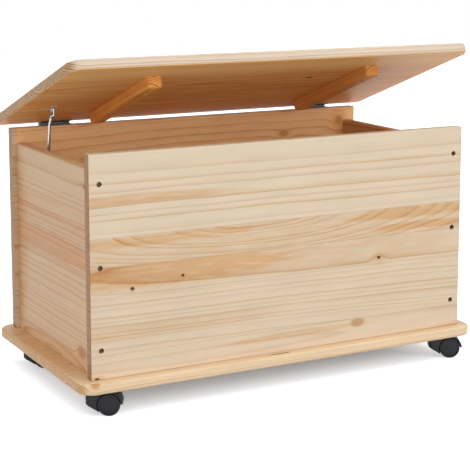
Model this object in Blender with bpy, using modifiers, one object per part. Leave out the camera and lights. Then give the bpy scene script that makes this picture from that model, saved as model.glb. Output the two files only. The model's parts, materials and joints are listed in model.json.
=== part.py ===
"""Wooden toy chest on casters, with a lid held open by a sliding stay. Metres, +Z up, -Y is the front.
The origin is on the floor under the middle of the base board."""

from math import cos, pi, radians, sin, sqrt

import bmesh
import bpy
from mathutils import Matrix, Vector

# Boards
BOARD = 0.019  # thickness of every glued pine board
GAP = 0.0003  # between pieces that touch
CHEST_WIDTH = 0.753  # front and back panels, which cover the ends of the side panels
CHEST_DEPTH = 0.389  # over the front and back panels
PANEL_HEIGHT = 0.381
SIDE_HEIGHT = 0.3545
SIDE_INSET = 0.009  # of the side panels from the ends of the front and back panels
EASE = 0.0015  # eased edges of the panels
SIDE_TOP_ROUND = 0.006
BASE_WIDTH, BASE_DEPTH = 0.800, 0.429
LID_WIDTH, LID_REACH = 0.800, 0.4095  # the reach runs from the hinge axis to the lid's front edge
BOARD_CORNER, LID_REAR_CORNER = 0.027, 0.008  # corner radii in plan
BOARD_ROUND = 0.0045  # rounded edges of base and lid

# Heights
CASTER_HEIGHT = 0.048
BASE_TOP = CASTER_HEIGHT + BOARD
PANEL_TOP = BASE_TOP + PANEL_HEIGHT

# Lid hinges
HINGE_REAR = 0.003  # hinge axis behind the back panel's rear face
LEAF = 0.0012
LEAF_SPACE = 0.0003  # from the axis's level to each leaf
LID_LIFT = LEAF_SPACE + LEAF + GAP  # from the axis up to the lid's underside, and down to the panel's top
HINGE_X, HINGE_LENGTH, HINGE_REACH = 0.285, 0.060, 0.020
KNUCKLE_R, HINGE_PIN_R, KNUCKLE_SPLIT = 0.0026, 0.0011, 0.012
PIN_HEAD, PIN_HEAD_LIP = 0.0010, 0.0009
LEAF_HOLES_X, LEAF_HOLE_REACH, FIXING_R = (-0.020, 0, 0.020), 0.0125, 0.0020
LID_OPEN = radians(19.3)
AXIS_Y = CHEST_DEPTH / 2 + HINGE_REAR
AXIS_Z = PANEL_TOP + LID_LIFT

# Battens under the lid
BATTEN_X, BATTEN_WIDTH, BATTEN_DEEP = 0.222, 0.027, 0.020
BATTEN_REAR, BATTEN_FRONT = 0.055, 0.338  # distances from the hinge axis
BATTEN_END_ROUND = 0.008

# Screws: a round head at the bottom of a counterbore, and a plain shank
HEAD_R, HEAD_DEEP, HEAD_EDGE, SHANK_R = 0.0042, 0.0032, 0.0008, 0.0020
SHANK_LENGTH, BATTEN_SHANK_LENGTH, POINT_LENGTH = 0.034, 0.027, 0.006
COUNTERBORE_R, PILOT_R = 0.0046, 0.0024
PILOT_PAST = 0.0015  # how far a pilot hole runs past its screw
CUT_PAST = 0.001  # how far a cutter stands out of the face that it cuts
PANEL_SCREW_SINK, FLUSH_SINK = 0.005, 0.002
PANEL_SCREW_HEIGHTS = (0.050, 0.1905, 0.331)  # above the base board
BASE_SCREW_X = 0.220
BATTEN_SCREW_REACH = (0.095, 0.295)

# Lid stay: the guide's pivot is as far from the hinge axis as the rod's pin, so the rod turns at
# exactly half the lid's angle and always passes through the guide.
STAY_PIN_REACH, STAY_PIN_DROP = 0.120, 0.0105
STAY_PIN_X, STAY_ROD_X = -0.3335, -0.3365
GUIDE_REACH = 0.103
ROD_R, ROD_LENGTH, ROD_JOGGLE, STOP_R, STOP_LENGTH = 0.0025, 0.206, 0.014, 0.0045, 0.006
EYE_R, EYE_THICK, RIVET_R, LUG_THICK = 0.0048, 0.0030, 0.0020, 0.0015
BRACKET_WIDTH, BRACKET_LENGTH, BRACKET_FORWARD = 0.013, 0.041, 0.004
BRACKET_HOLES = (-0.0195, 0.0125)  # behind and in front of the rod's pin
LUG_FOOT_HALF, RIVET_HEAD, RIVET_LIP = 0.008, 0.0012, 0.0010
GUIDE_WIDE, GUIDE_DEEP, GUIDE_TALL, GUIDE_ROUND = 0.013, 0.013, 0.018, 0.003
BOSS_R, STUD_FLANGE_R, STUD_FLANGE, STUD_FLANGE_EDGE = 0.0052, 0.009, 0.002, 0.0005
STUD_PIN_R, STUD_SCREW_R, STUD_SCREW_LENGTH, GUIDE_WALL = 0.0025, 0.0018, 0.013, 0.0012

# Casters, in their own frame: the stem at the origin, +X the way the wheels trail
CASTER_LEFT, CASTER_RIGHT, CASTER_FRONT, CASTER_REAR = -0.358, 0.350, -0.163, 0.142
CASTER_TURN = radians(-28)
WHEEL_R, WHEEL_INNER, WHEEL_OUTER, TRAIL = 0.0195, 0.0033, 0.0163, 0.0245
AXLE_R, AXLE_HALF, AXLE_CLEAR, AXLE_EDGE = 0.0025, 0.0122, 0.0003, 0.0004
HOOD_HALF, WEB_HALF, HOOD_R, POCKET_R = 0.0155, 0.0028, 0.0237, 0.0207
HOOD_NOSE, HOOD_NOSE_LOW, HOOD_LOW, HOOD_NOSE_ROUND = -0.015, 0.0205, 0.0070, 0.007
HOOD_CHAMFER, HOOD_HEEL_Z = 0.004, 0.0125
PLATE_HALF, PLATE_THICK, PLATE_CORNER, PLATE_HOLE_IN = 0.019, 0.0017, 0.004, 0.0045
STEM_R, STEM_LENGTH = 0.0040, 0.0125

PINE = (0.86, 0.68, 0.46)
PINE_DARK = (0.72, 0.50, 0.29)
STEEL = (0.62, 0.61, 0.58)
BLACK = (0.03, 0.03, 0.035)


def clear_scene():
    for obj in list(bpy.data.objects):
        bpy.data.objects.remove(obj, do_unlink=True)


def new_collection(name):
    group = bpy.data.collections.new(name)
    bpy.context.scene.collection.children.link(group)
    return group


def material(name, colour, roughness, metallic=0.0):
    mat = bpy.data.materials.new(name)
    mat.use_nodes = True
    shader = mat.node_tree.nodes["Principled BSDF"]
    shader.inputs["Base Color"].default_value = (*colour, 1.0)
    shader.inputs["Roughness"].default_value = roughness
    shader.inputs["Metallic"].default_value = metallic
    return mat


def place(name, mesh, mat, location=(0, 0, 0), rotation=(0, 0, 0), parent=None):
    obj = bpy.data.objects.new(name, mesh)
    chest.objects.link(obj)
    obj.location, obj.rotation_euler, obj.parent = location, rotation, parent
    if mat and mat.name not in mesh.materials:
        mesh.materials.append(mat)
    return obj


def pivot(name, location, rotation=(0, 0, 0), parent=None):
    empty = bpy.data.objects.new(name, None)
    chest.objects.link(empty)
    empty.location, empty.rotation_euler, empty.parent = location, rotation, parent
    return empty


def mesh_from(bm, name):
    mesh = bpy.data.meshes.new(name)
    bm.to_mesh(mesh)
    bm.free()
    return mesh


def smooth(mesh, angle=40):
    mesh.shade_smooth()
    mesh.set_sharp_from_angle(angle=radians(angle))
    return mesh


def block(name, size, centre=(0, 0, 0)):
    """A box mesh of this size about a centre."""
    bm = bmesh.new()
    bmesh.ops.create_cube(bm, size=1, matrix=Matrix.Translation(centre) @ Matrix.Diagonal((*size, 1)))
    return mesh_from(bm, name)


def along(direction):
    """A rotation that takes +Z to this direction."""
    return Vector(direction).to_track_quat("Z", "Y").to_matrix().to_4x4()


def add_rod(bm, start, end, radius, segments=16):
    """Adds a closed cylinder between two points."""
    start, end = Vector(start), Vector(end)
    bmesh.ops.create_cone(
        bm, cap_ends=True, segments=segments, radius1=radius, radius2=radius,
        depth=(end - start).length, matrix=Matrix.Translation((start + end) / 2) @ along(end - start),
    )


def rods(name, spans, radius, segments=16):
    bm = bmesh.new()
    for start, end in spans:
        add_rod(bm, start, end, radius, segments)
    return mesh_from(bm, name)


def baked(obj):
    """The evaluated mesh of an object, whose object is then removed."""
    graph = bpy.context.evaluated_depsgraph_get()
    mesh = bpy.data.meshes.new_from_object(obj.evaluated_get(graph))
    bm = bmesh.new()
    bm.from_mesh(mesh)
    bmesh.ops.remove_doubles(bm, verts=bm.verts, dist=1e-6)
    bm.to_mesh(mesh)
    bm.free()
    bpy.data.objects.remove(obj, do_unlink=True)
    return mesh


def boolean(obj, mesh, operation="DIFFERENCE"):
    """Cuts or joins obj with a mesh given in obj's own frame. The tool stays as a hidden child."""
    tool = bpy.data.objects.new(obj.name + "_tool", mesh)
    tools.objects.link(tool)
    tool.parent, tool.hide_render, tool.display_type = obj, True, "WIRE"
    cut = obj.modifiers.new(operation.lower(), "BOOLEAN")
    cut.operation, cut.object = operation, tool
    return obj


def shaped(name, base, joined=(), cut=()):
    """One mesh from a base mesh, with meshes joined to it and then meshes cut from it."""
    obj = place(name, base, None)
    for mesh in joined:
        boolean(obj, mesh, "UNION")
    for mesh in cut:
        boolean(obj, mesh)
    bpy.context.view_layer.update()
    made_with = list(obj.children)
    mesh = baked(obj)
    for tool in made_with:
        bpy.data.objects.remove(tool, do_unlink=True)
    mesh.name = name
    return mesh


def turned(name, profile, steps=16):
    """A solid turned about Z from (radius, height) points, listed top to bottom."""
    mesh = bpy.data.meshes.new(name)
    mesh.from_pydata([(r, 0, z) for r, z in profile], [(i, i + 1) for i in range(len(profile) - 1)], [])
    obj = place(name, mesh, None)
    screw = obj.modifiers.new("turn", "SCREW")
    screw.steps = screw.render_steps = steps
    screw.use_merge_vertices, screw.merge_threshold = True, 0.00005
    bpy.context.view_layer.update()
    return smooth(baked(obj))


def flat_outline(name, points, thickness):
    """A flat closed outline in XY, thickened evenly about Z = 0."""
    curve = bpy.data.curves.new(name, "CURVE")
    curve.dimensions, curve.fill_mode, curve.extrude = "2D", "BOTH", thickness / 2
    spline = curve.splines.new("POLY")
    spline.points.add(len(points) - 1)
    for point, (x, y) in zip(spline.points, points):
        point.co = (x, y, 0, 1)
    spline.use_cyclic_u = True
    return baked(place(name, curve, None))


def arc(centre, radius, start, end, steps):
    """Points on an arc, angles in degrees."""
    angles = [radians(start + (end - start) * i / steps) for i in range(steps + 1)]
    return [(centre[0] + radius * cos(a), centre[1] + radius * sin(a)) for a in angles]


def move(mesh, matrix):
    mesh.transform(matrix)
    if matrix.determinant() < 0:
        mesh.flip_normals()
    return mesh


def bevel_edges(mesh, chosen, width, segments):
    """Rounds the edges for which chosen(midpoint, direction) is true."""
    bm = bmesh.new()
    bm.from_mesh(mesh)
    picked = []
    for edge in bm.edges:
        a, b = edge.verts[0].co, edge.verts[1].co
        if chosen((a + b) / 2, (b - a).normalized()):
            picked.append(edge)
    bmesh.ops.bevel(bm, geom=picked, offset=width, segments=segments, profile=0.5, affect="EDGES")
    bm.to_mesh(mesh)
    bm.free()
    return mesh


def ease(obj, width, segments=1):
    bevel = obj.modifiers.new("ease", "BEVEL")
    bevel.width, bevel.segments, bevel.limit_method = width, segments, "ANGLE"
    return obj


def screw_mesh(name, shank):
    """A screw that points down -Z, with the top of its head at Z = 0."""
    tip = -HEAD_DEEP - shank
    return turned(name, [
        (0, 0), (HEAD_R - HEAD_EDGE, 0), (HEAD_R, -HEAD_EDGE), (HEAD_R, -HEAD_DEEP), (SHANK_R, -HEAD_DEEP),
        (SHANK_R, tip + POINT_LENGTH), (0, tip),
    ], steps=10)


def screw_bores(obj, heads, direction, sink):
    """Counterbores and pilot holes in a board for screws whose board faces are at heads."""
    way = Vector(direction)
    wide = [(Vector(h) - way * CUT_PAST, Vector(h) + way * (sink + HEAD_DEEP + GAP)) for h in heads]
    length = sink + HEAD_DEEP + SHANK_LENGTH + PILOT_PAST
    narrow = [(Vector(h) + way * sink, Vector(h) + way * length) for h in heads]
    boolean(obj, rods(obj.name + "_counterbores", wide, COUNTERBORE_R, 14))
    boolean(obj, rods(obj.name + "_pilots", narrow, PILOT_R, 8))


def rounded_board(name, width, y0, y1, z0, z1, front_corner, rear_corner):
    """A board with corners rounded in plan, in the frame of its origin."""
    mesh = block(name, (width, y1 - y0, z1 - z0), (0, (y0 + y1) / 2, (z0 + z1) / 2))
    middle = (y0 + y1) / 2
    bevel_edges(mesh, lambda m, d: abs(d.z) > 0.9 and m.y < middle, front_corner, 6)
    bevel_edges(mesh, lambda m, d: abs(d.z) > 0.9 and m.y > middle + (y1 - y0) * 0.45
                and abs(m.x) > width / 2 - 1e-4, rear_corner, 6)
    return mesh


def panel_screw_points():
    """(x, z) of the screws in the front and back panels."""
    x = CHEST_WIDTH / 2 - SIDE_INSET - BOARD / 2
    return [(side * x, BASE_TOP + z) for side in (-1, 1) for z in PANEL_SCREW_HEIGHTS]


def make_base():
    half = BASE_DEPTH / 2
    mesh = rounded_board("base_board", BASE_WIDTH, -half, half, 0, BOARD, BOARD_CORNER, BOARD_CORNER)
    obj = place("base_board", mesh, pine, (0, 0, CASTER_HEIGHT))
    ease(obj, BOARD_ROUND, 3)
    spots = base_screw_points()
    screw_bores(obj, [(x, y, 0) for x, y in spots], (0, 0, 1), FLUSH_SINK)
    for (x, y), name in zip(spots, ("front_left", "rear_left", "front_right", "rear_right")):
        place(f"base_screw_{name}", screw, steel, (x, y, CASTER_HEIGHT + FLUSH_SINK), (pi, 0, 0))


def base_screw_points():
    y = CHEST_DEPTH / 2 - BOARD / 2
    return [(sx * BASE_SCREW_X, sy * y) for sx in (-1, 1) for sy in (-1, 1)]


def make_long_panel(name, side):
    """The front (side -1) or back (side +1) panel, its screws and their bores."""
    y = side * (CHEST_DEPTH - BOARD) / 2
    tall = PANEL_HEIGHT - GAP
    middle = BASE_TOP + GAP + tall / 2
    panel = place(f"{name}_panel", block(name, (CHEST_WIDTH, BOARD, tall)), pine, (0, y, middle))
    ease(panel, EASE, 2)
    heads = [(x, side * BOARD / 2, z - middle) for x, z in panel_screw_points()]
    screw_bores(panel, heads, (0, -side, 0), PANEL_SCREW_SINK)
    bottom = -tall / 2 - CUT_PAST
    reach = -tall / 2 + FLUSH_SINK + HEAD_DEEP + SHANK_LENGTH - BOARD + PILOT_PAST
    spans = [((x, 0, bottom), (x, 0, reach)) for x in (-BASE_SCREW_X, BASE_SCREW_X)]
    boolean(panel, rods(name + "_edge_pilots", spans, PILOT_R, 8))
    levels = ("low", "middle", "high")
    labels = [f"{end}_{level}" for end in ("left", "right") for level in levels]
    for (x, z), label in zip(panel_screw_points(), labels):
        head_y = side * (CHEST_DEPTH / 2 - PANEL_SCREW_SINK)
        place(f"{name}_screw_{label}", screw, steel, (x, head_y, z), (-side * pi / 2, 0, 0))


def make_side_panel(name, side):
    x = side * (CHEST_WIDTH / 2 - SIDE_INSET - BOARD / 2)
    long = CHEST_DEPTH - 2 * BOARD - 2 * GAP
    tall = SIDE_HEIGHT - GAP
    middle = BASE_TOP + GAP + tall / 2
    mesh = block(name, (BOARD, long, tall))
    bevel_edges(mesh, lambda m, d: abs(d.y) > 0.9 and m.z > 0, SIDE_TOP_ROUND, 4)
    panel = place(f"side_panel_{name}", smooth(mesh), pine, (x, 0, middle))
    depth = PANEL_SCREW_SINK + HEAD_DEEP + SHANK_LENGTH - BOARD + PILOT_PAST + CUT_PAST
    spans = []
    for end in (-1, 1):
        for z in PANEL_SCREW_HEIGHTS:
            start = Vector((0, end * (long / 2 + CUT_PAST), BASE_TOP + z - middle))
            spans.append((start, start - Vector((0, end * depth, 0))))
    if side < 0:
        stud_end = BOARD / 2 - STUD_SCREW_LENGTH - PILOT_PAST
        at = (GUIDE_Y, GUIDE_Z - middle)
        spans.append(((BOARD / 2 + CUT_PAST, *at), (stud_end, *at)))
    return boolean(panel, rods(name + "_end_pilots", spans, PILOT_R, 8))


def make_lid():
    y0, y1 = -LID_REACH, -HINGE_REAR
    mesh = rounded_board("lid_panel", LID_WIDTH, y0, y1, LID_LIFT, LID_LIFT + BOARD,
                         BOARD_CORNER, LID_REAR_CORNER)
    lid = place("lid_panel", mesh, pine, parent=lid_axis)
    ease(lid, BOARD_ROUND, 3)
    under = LID_LIFT - GAP - BATTEN_DEEP
    spots = [(sx * BATTEN_X, -reach) for sx in (-1, 1) for reach in BATTEN_SCREW_REACH]
    top = under + FLUSH_SINK + HEAD_DEEP + BATTEN_SHANK_LENGTH + PILOT_PAST
    pilots = [((x, y, 0), (x, y, top)) for x, y in spots]
    boolean(lid, rods("lid_pilots", pilots, PILOT_R, 8))
    for side, name in ((-1, "left"), (1, "right")):
        make_batten(name, side * BATTEN_X, under)


def make_batten(name, x, under):
    long = BATTEN_FRONT - BATTEN_REAR
    middle = -(BATTEN_FRONT + BATTEN_REAR) / 2
    mesh = block(name, (BATTEN_WIDTH, long, BATTEN_DEEP))
    bevel_edges(mesh, lambda m, d: abs(d.x) > 0.9 and m.z < 0, BATTEN_END_ROUND, 4)
    centre = (x, middle, under + BATTEN_DEEP / 2)
    batten = place(f"lid_batten_{name}", smooth(mesh), pine_dark, centre, parent=lid_axis)
    heads = [(0, -reach - middle, -BATTEN_DEEP / 2) for reach in BATTEN_SCREW_REACH]
    screw_bores(batten, heads, (0, 0, 1), FLUSH_SINK)
    for reach, end in zip(BATTEN_SCREW_REACH, ("rear", "front")):
        place(f"batten_screw_{name}_{end}", short_screw, steel, (x, -reach, under + FLUSH_SINK),
              (pi, 0, 0), lid_axis)


def leaf_mesh(name, up, spans):
    """A hinge leaf above (up 1) or below (up -1) the axis, with knuckles over these spans of X."""
    low, high = HINGE_REAR + 2 * GAP, HINGE_REACH
    z = up * (LEAF_SPACE + LEAF / 2)
    plate = block(name, (HINGE_LENGTH, high - low, LEAF), (0, -(low + high) / 2, z))
    joined = []
    for a, b in spans:
        joined.append(block("tab", (b - a, low + GAP, LEAF), ((a + b) / 2, -(low + GAP) / 2, z)))
        joined.append(rods("knuckle", [((a, 0, 0), (b, 0, 0))], KNUCKLE_R, 12))
    end = HINGE_LENGTH / 2 + CUT_PAST
    bore = rods("bore", [((-end, 0, 0), (end, 0, 0))], HINGE_PIN_R + GAP, 8)
    holes = [((x, -LEAF_HOLE_REACH, z - LEAF), (x, -LEAF_HOLE_REACH, z + LEAF)) for x in LEAF_HOLES_X]
    return shaped(name, plate, joined, [bore, rods("holes", holes, FIXING_R, 8)])


def make_hinges():
    split, half = KNUCKLE_SPLIT, HINGE_LENGTH / 2
    fixed = leaf_mesh("hinge_fixed_leaf", -1, [(-half, -split - GAP), (split + GAP, half)])
    moving = leaf_mesh("hinge_moving_leaf", 1, [(-split + GAP, split - GAP)])
    end, head = half + GAP, HINGE_PIN_R + PIN_HEAD_LIP
    pin = turned("hinge_pin", [
        (0, end + PIN_HEAD), (head, end + PIN_HEAD), (head, end), (HINGE_PIN_R, end),
        (HINGE_PIN_R, -end), (head, -end), (head, -end - PIN_HEAD), (0, -end - PIN_HEAD),
    ], steps=8)
    for side, name in ((-1, "left"), (1, "right")):
        place(f"hinge_fixed_leaf_{name}", fixed, steel, (side * HINGE_X, AXIS_Y, AXIS_Z))
        place(f"hinge_moving_leaf_{name}", moving, steel, (side * HINGE_X, 0, 0), parent=lid_axis)
        place(f"hinge_pin_{name}", pin, steel, (side * HINGE_X, AXIS_Y, AXIS_Z), (0, pi / 2, 0))


def make_stay():
    """Bracket and rivet under the lid, rod, and the guide that swivels on a stud in the left side panel."""
    top = LID_LIFT - GAP
    lug_x = STAY_PIN_X + EYE_THICK / 2 + GAP + LUG_THICK / 2
    pin = (STAY_PIN_X, -STAY_PIN_REACH, -STAY_PIN_DROP)
    centre = (lug_x, pin[1] - BRACKET_FORWARD, top - LEAF / 2)
    plate = block("plate", (BRACKET_WIDTH, BRACKET_LENGTH, LEAF), centre)
    drop = STAY_PIN_DROP + top - LEAF / 2
    outline = [(-LUG_FOOT_HALF, drop), *arc((0, 0), EYE_R, 180, 360, 8), (LUG_FOOT_HALF, drop)]
    lug = flat_outline("lug", outline, LUG_THICK)
    stand = Matrix.Translation((lug_x, pin[1], pin[2])) @ Matrix(
        ((0, 0, 1, 0), (1, 0, 0, 0), (0, 1, 0, 0), (0, 0, 0, 1)))
    hole = rods("hole", [((lug_x - LUG_THICK, *pin[1:]), (lug_x + LUG_THICK, *pin[1:]))], RIVET_R + GAP, 12)
    fixings = [((lug_x, pin[1] + y, top + LEAF), (lug_x, pin[1] + y, top - 2 * LEAF)) for y in BRACKET_HOLES]
    cuts = [hole, rods("fixings", fixings, FIXING_R, 12)]
    place("stay_bracket", shaped("stay_bracket", plate, [move(lug, stand)], cuts), steel, parent=lid_axis)

    left, right = STAY_PIN_X - EYE_THICK / 2 - GAP, lug_x + LUG_THICK / 2 + GAP
    head, crown = RIVET_R + RIVET_LIP, RIVET_R + RIVET_LIP / 2
    rivet = turned("stay_rivet", [
        (0, right + RIVET_HEAD), (crown, right + RIVET_HEAD), (head, right), (RIVET_R, right),
        (RIVET_R, left), (head, left), (crown, left - RIVET_HEAD), (0, left - RIVET_HEAD),
    ], steps=12)
    place("stay_rivet", rivet, steel, (0, pin[1], pin[2]), (0, pi / 2, 0), lid_axis)

    rest_pin = lid_axis.matrix_basis @ Vector(pin)
    to_guide = Vector((0, GUIDE_Y, GUIDE_Z)) - Vector((0, rest_pin.y, rest_pin.z))
    lean = Vector((0, -1)).angle_signed(Vector(to_guide.yz))
    place("stay_rod", rod_mesh(), steel, (STAY_PIN_X, rest_pin.y, rest_pin.z), (-lean, 0, 0))
    place("stay_guide", guide_mesh(), steel, (STAY_ROD_X, GUIDE_Y, GUIDE_Z), (-lean, 0, 0))

    wall = -CHEST_WIDTH / 2 + SIDE_INSET + BOARD
    flange = wall + GAP
    face, edge = flange + STUD_FLANGE, STUD_FLANGE_EDGE
    point = flange - STUD_SCREW_LENGTH
    stud = turned("stay_guide_stud", [
        (0, GUIDE_BORE_END - GAP), (STUD_PIN_R, GUIDE_BORE_END - GAP), (STUD_PIN_R, face),
        (STUD_FLANGE_R - edge, face), (STUD_FLANGE_R, face - edge), (STUD_FLANGE_R, flange),
        (STUD_SCREW_R, flange), (STUD_SCREW_R, point + 1.5 * STUD_SCREW_R), (0, point),
    ], steps=14)
    place("stay_guide_stud", stud, steel, (0, GUIDE_Y, GUIDE_Z), (0, pi / 2, 0))


def rod_mesh():
    """The rod, hanging down -Z from its eye, with a joggle in X below the eye and a stop at its foot."""
    shift = STAY_ROD_X - STAY_PIN_X
    route = [(shift * 0.4, -EYE_R * 0.75), (shift * 0.4, -ROD_JOGGLE * 0.45),
             (shift * 0.6, -ROD_JOGGLE * 0.75), (shift * 0.9, -ROD_JOGGLE),
             (shift, -ROD_JOGGLE * 1.25), (shift, -ROD_LENGTH + STOP_LENGTH / 2)]
    curve = bpy.data.curves.new("stay_rod", "CURVE")
    curve.dimensions, curve.bevel_depth, curve.bevel_resolution, curve.use_fill_caps = "3D", ROD_R, 2, True
    spline = curve.splines.new("POLY")
    spline.points.add(len(route) - 1)
    for point, (x, z) in zip(spline.points, route):
        point.co = (x, 0, z, 1)
    wire = baked(place("stay_rod_wire", curve, None))
    half = EYE_THICK / 2
    eye = rods("eye", [((-half, 0, 0), (half, 0, 0))], EYE_R)
    stop = rods("stop", [((shift, 0, -ROD_LENGTH), (shift, 0, -ROD_LENGTH + STOP_LENGTH))], STOP_R, 12)
    hole = rods("hole", [((-EYE_THICK, 0, 0), (EYE_THICK, 0, 0))], RIVET_R + GAP, 12)
    return shaped("stay_rod", wire, [eye, stop], [hole])


def guide_mesh():
    """The guide in its own frame: the rod's bore along Z, the swivel boss towards -X."""
    body = block("body", (GUIDE_WIDE, GUIDE_DEEP, GUIDE_TALL))
    bevel_edges(body, lambda m, d: abs(d.x) > 0.9, GUIDE_ROUND, 3)
    wall = -CHEST_WIDTH / 2 + SIDE_INSET + BOARD
    back = wall + 2 * GAP + STUD_FLANGE - STAY_ROD_X
    boss = rods("boss", [((back, 0, 0), (-GUIDE_WIDE / 2 + CUT_PAST, 0, 0))], BOSS_R)
    bore = rods("bore", [((0, 0, -GUIDE_TALL), (0, 0, GUIDE_TALL))], ROD_R + GAP, 12)
    socket_end = GUIDE_BORE_END - STAY_ROD_X
    socket = rods("socket", [((back - CUT_PAST, 0, 0), (socket_end, 0, 0))], STUD_PIN_R + GAP, 12)
    return shaped("stay_guide", body, [boss], [bore, socket])


def hood_mesh():
    """The swivelling body: a nose round the stem, a fender over both wheels and a web between them."""
    hub = (TRAIL, WHEEL_R)
    top = WHEEL_R + HOOD_R
    outline = [(HOOD_NOSE, HOOD_NOSE_LOW), (HOOD_NOSE, top - HOOD_CHAMFER), (HOOD_NOSE + HOOD_CHAMFER, top)]
    outline += arc(hub, HOOD_R, 90, 2, 10)
    outline += [(TRAIL + POCKET_R - 0.001, WHEEL_R + 0.0008), (TRAIL + POCKET_R * 0.7, HOOD_HEEL_Z)]
    outline += [(TRAIL + POCKET_R * 0.4, HOOD_LOW), (TRAIL - POCKET_R * 0.8, HOOD_LOW)]
    mesh = flat_outline("hood", outline, 2 * HOOD_HALF)
    move(mesh, Matrix(((1, 0, 0, 0), (0, 0, 1, 0), (0, 1, 0, 0), (0, 0, 0, 1))))
    bevel_edges(mesh, lambda m, d: abs(d.z) > 0.9 and m.x < HOOD_NOSE + GAP, HOOD_NOSE_ROUND, 3)
    cuts = []
    for side in (-1, 1):
        inner, outer = side * WEB_HALF, side * (HOOD_HALF + CUT_PAST)
        cuts.append(rods("pocket", [((TRAIL, inner, WHEEL_R), (TRAIL, outer, WHEEL_R))], POCKET_R, 24))
    axle = [((TRAIL, -HOOD_HALF, WHEEL_R), (TRAIL, HOOD_HALF, WHEEL_R))]
    cuts.append(rods("axle_bore", axle, AXLE_R + AXLE_CLEAR, 12))
    stem = [((0, 0, top + CUT_PAST), (0, 0, CASTER_HEIGHT - STEM_LENGTH - PILOT_PAST))]
    cuts.append(rods("stem_bore", stem, STEM_R + GAP, 14))
    return shaped("caster_hood", mesh, (), cuts)


def make_casters():
    hood = hood_mesh()
    wheel = turned("caster_wheel", [
        (0, WHEEL_OUTER), (WHEEL_R - 0.0020, WHEEL_OUTER), (WHEEL_R - 0.0005, WHEEL_OUTER - 0.0008),
        (WHEEL_R, WHEEL_OUTER - 0.0026), (WHEEL_R, WHEEL_INNER + 0.0010),
        (WHEEL_R - 0.0010, WHEEL_INNER), (AXLE_R + AXLE_CLEAR, WHEEL_INNER),
        (AXLE_R + AXLE_CLEAR, AXLE_HALF + GAP), (0, AXLE_HALF + GAP),
    ], steps=20)
    axle = turned("caster_axle", [
        (0, AXLE_HALF), (AXLE_R - AXLE_EDGE, AXLE_HALF), (AXLE_R, AXLE_HALF - AXLE_EDGE),
        (AXLE_R, -AXLE_HALF + AXLE_EDGE), (AXLE_R - AXLE_EDGE, -AXLE_HALF), (0, -AXLE_HALF),
    ], steps=12)
    high, low = CASTER_HEIGHT - GAP, CASTER_HEIGHT - GAP - PLATE_THICK
    square = block("plate", (2 * PLATE_HALF, 2 * PLATE_HALF, PLATE_THICK), (0, 0, (high + low) / 2))
    bevel_edges(square, lambda m, d: abs(d.z) > 0.9, PLATE_CORNER, 3)
    stem = rods("stem", [((0, 0, (high + low) / 2), (0, 0, CASTER_HEIGHT - STEM_LENGTH))], STEM_R, 14)
    at = PLATE_HALF - PLATE_HOLE_IN
    holes = [((x, y, low - CUT_PAST), (x, y, high + CUT_PAST)) for x in (-at, at) for y in (-at, at)]
    plate = shaped("caster_plate", square, [stem], [rods("holes", holes, FIXING_R, 8)])
    for x, y, name in ((CASTER_LEFT, CASTER_FRONT, "front_left"), (CASTER_RIGHT, CASTER_FRONT, "front_right"),
                       (CASTER_LEFT, CASTER_REAR, "rear_left"), (CASTER_RIGHT, CASTER_REAR, "rear_right")):
        spot = (x, y, 0)
        swivel = pivot(f"caster_{name}_swivel", spot, (0, 0, CASTER_TURN))
        hub = pivot(f"caster_{name}_hub", (TRAIL, 0, WHEEL_R), parent=swivel)
        place(f"caster_{name}_plate", plate, black, spot)
        place(f"caster_{name}_hood", hood, black, parent=swivel)
        place(f"caster_{name}_axle", axle, steel, rotation=(pi / 2, 0, 0), parent=hub)
        place(f"caster_{name}_wheel_a", wheel, black, rotation=(pi / 2, 0, 0), parent=hub)
        place(f"caster_{name}_wheel_b", wheel, black, rotation=(-pi / 2, 0, 0), parent=hub)


clear_scene()
chest = new_collection("toy_chest")
tools = new_collection("cutters")
pine = material("pine", PINE, 0.45)
pine_dark = material("pine_batten", PINE_DARK, 0.5)
steel = material("zinc_plated_steel", STEEL, 0.3, 1.0)
black = material("black_plastic", BLACK, 0.5)

# The guide's pivot lies on the circle through the rod's pin about the hinge axis
pin_radius = sqrt(STAY_PIN_REACH**2 + STAY_PIN_DROP**2)
GUIDE_Y = AXIS_Y - GUIDE_REACH
GUIDE_Z = AXIS_Z - sqrt(pin_radius**2 - GUIDE_REACH**2)
GUIDE_BORE_END = STAY_ROD_X - ROD_R - GAP - GUIDE_WALL

screw = screw_mesh("screw", SHANK_LENGTH)
short_screw = screw_mesh("short_screw", BATTEN_SHANK_LENGTH)
lid_axis = pivot("lid_axis", (0, AXIS_Y, AXIS_Z), (-LID_OPEN, 0, 0))
make_base()
make_long_panel("front", -1)
make_long_panel("back", 1)
make_side_panel("left", -1)
make_side_panel("right", 1)
make_lid()
make_hinges()
make_stay()
make_casters()
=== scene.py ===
import json
from math import cos, pi, radians, sin

import bmesh
import bpy
from mathutils import Matrix, Vector


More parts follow.
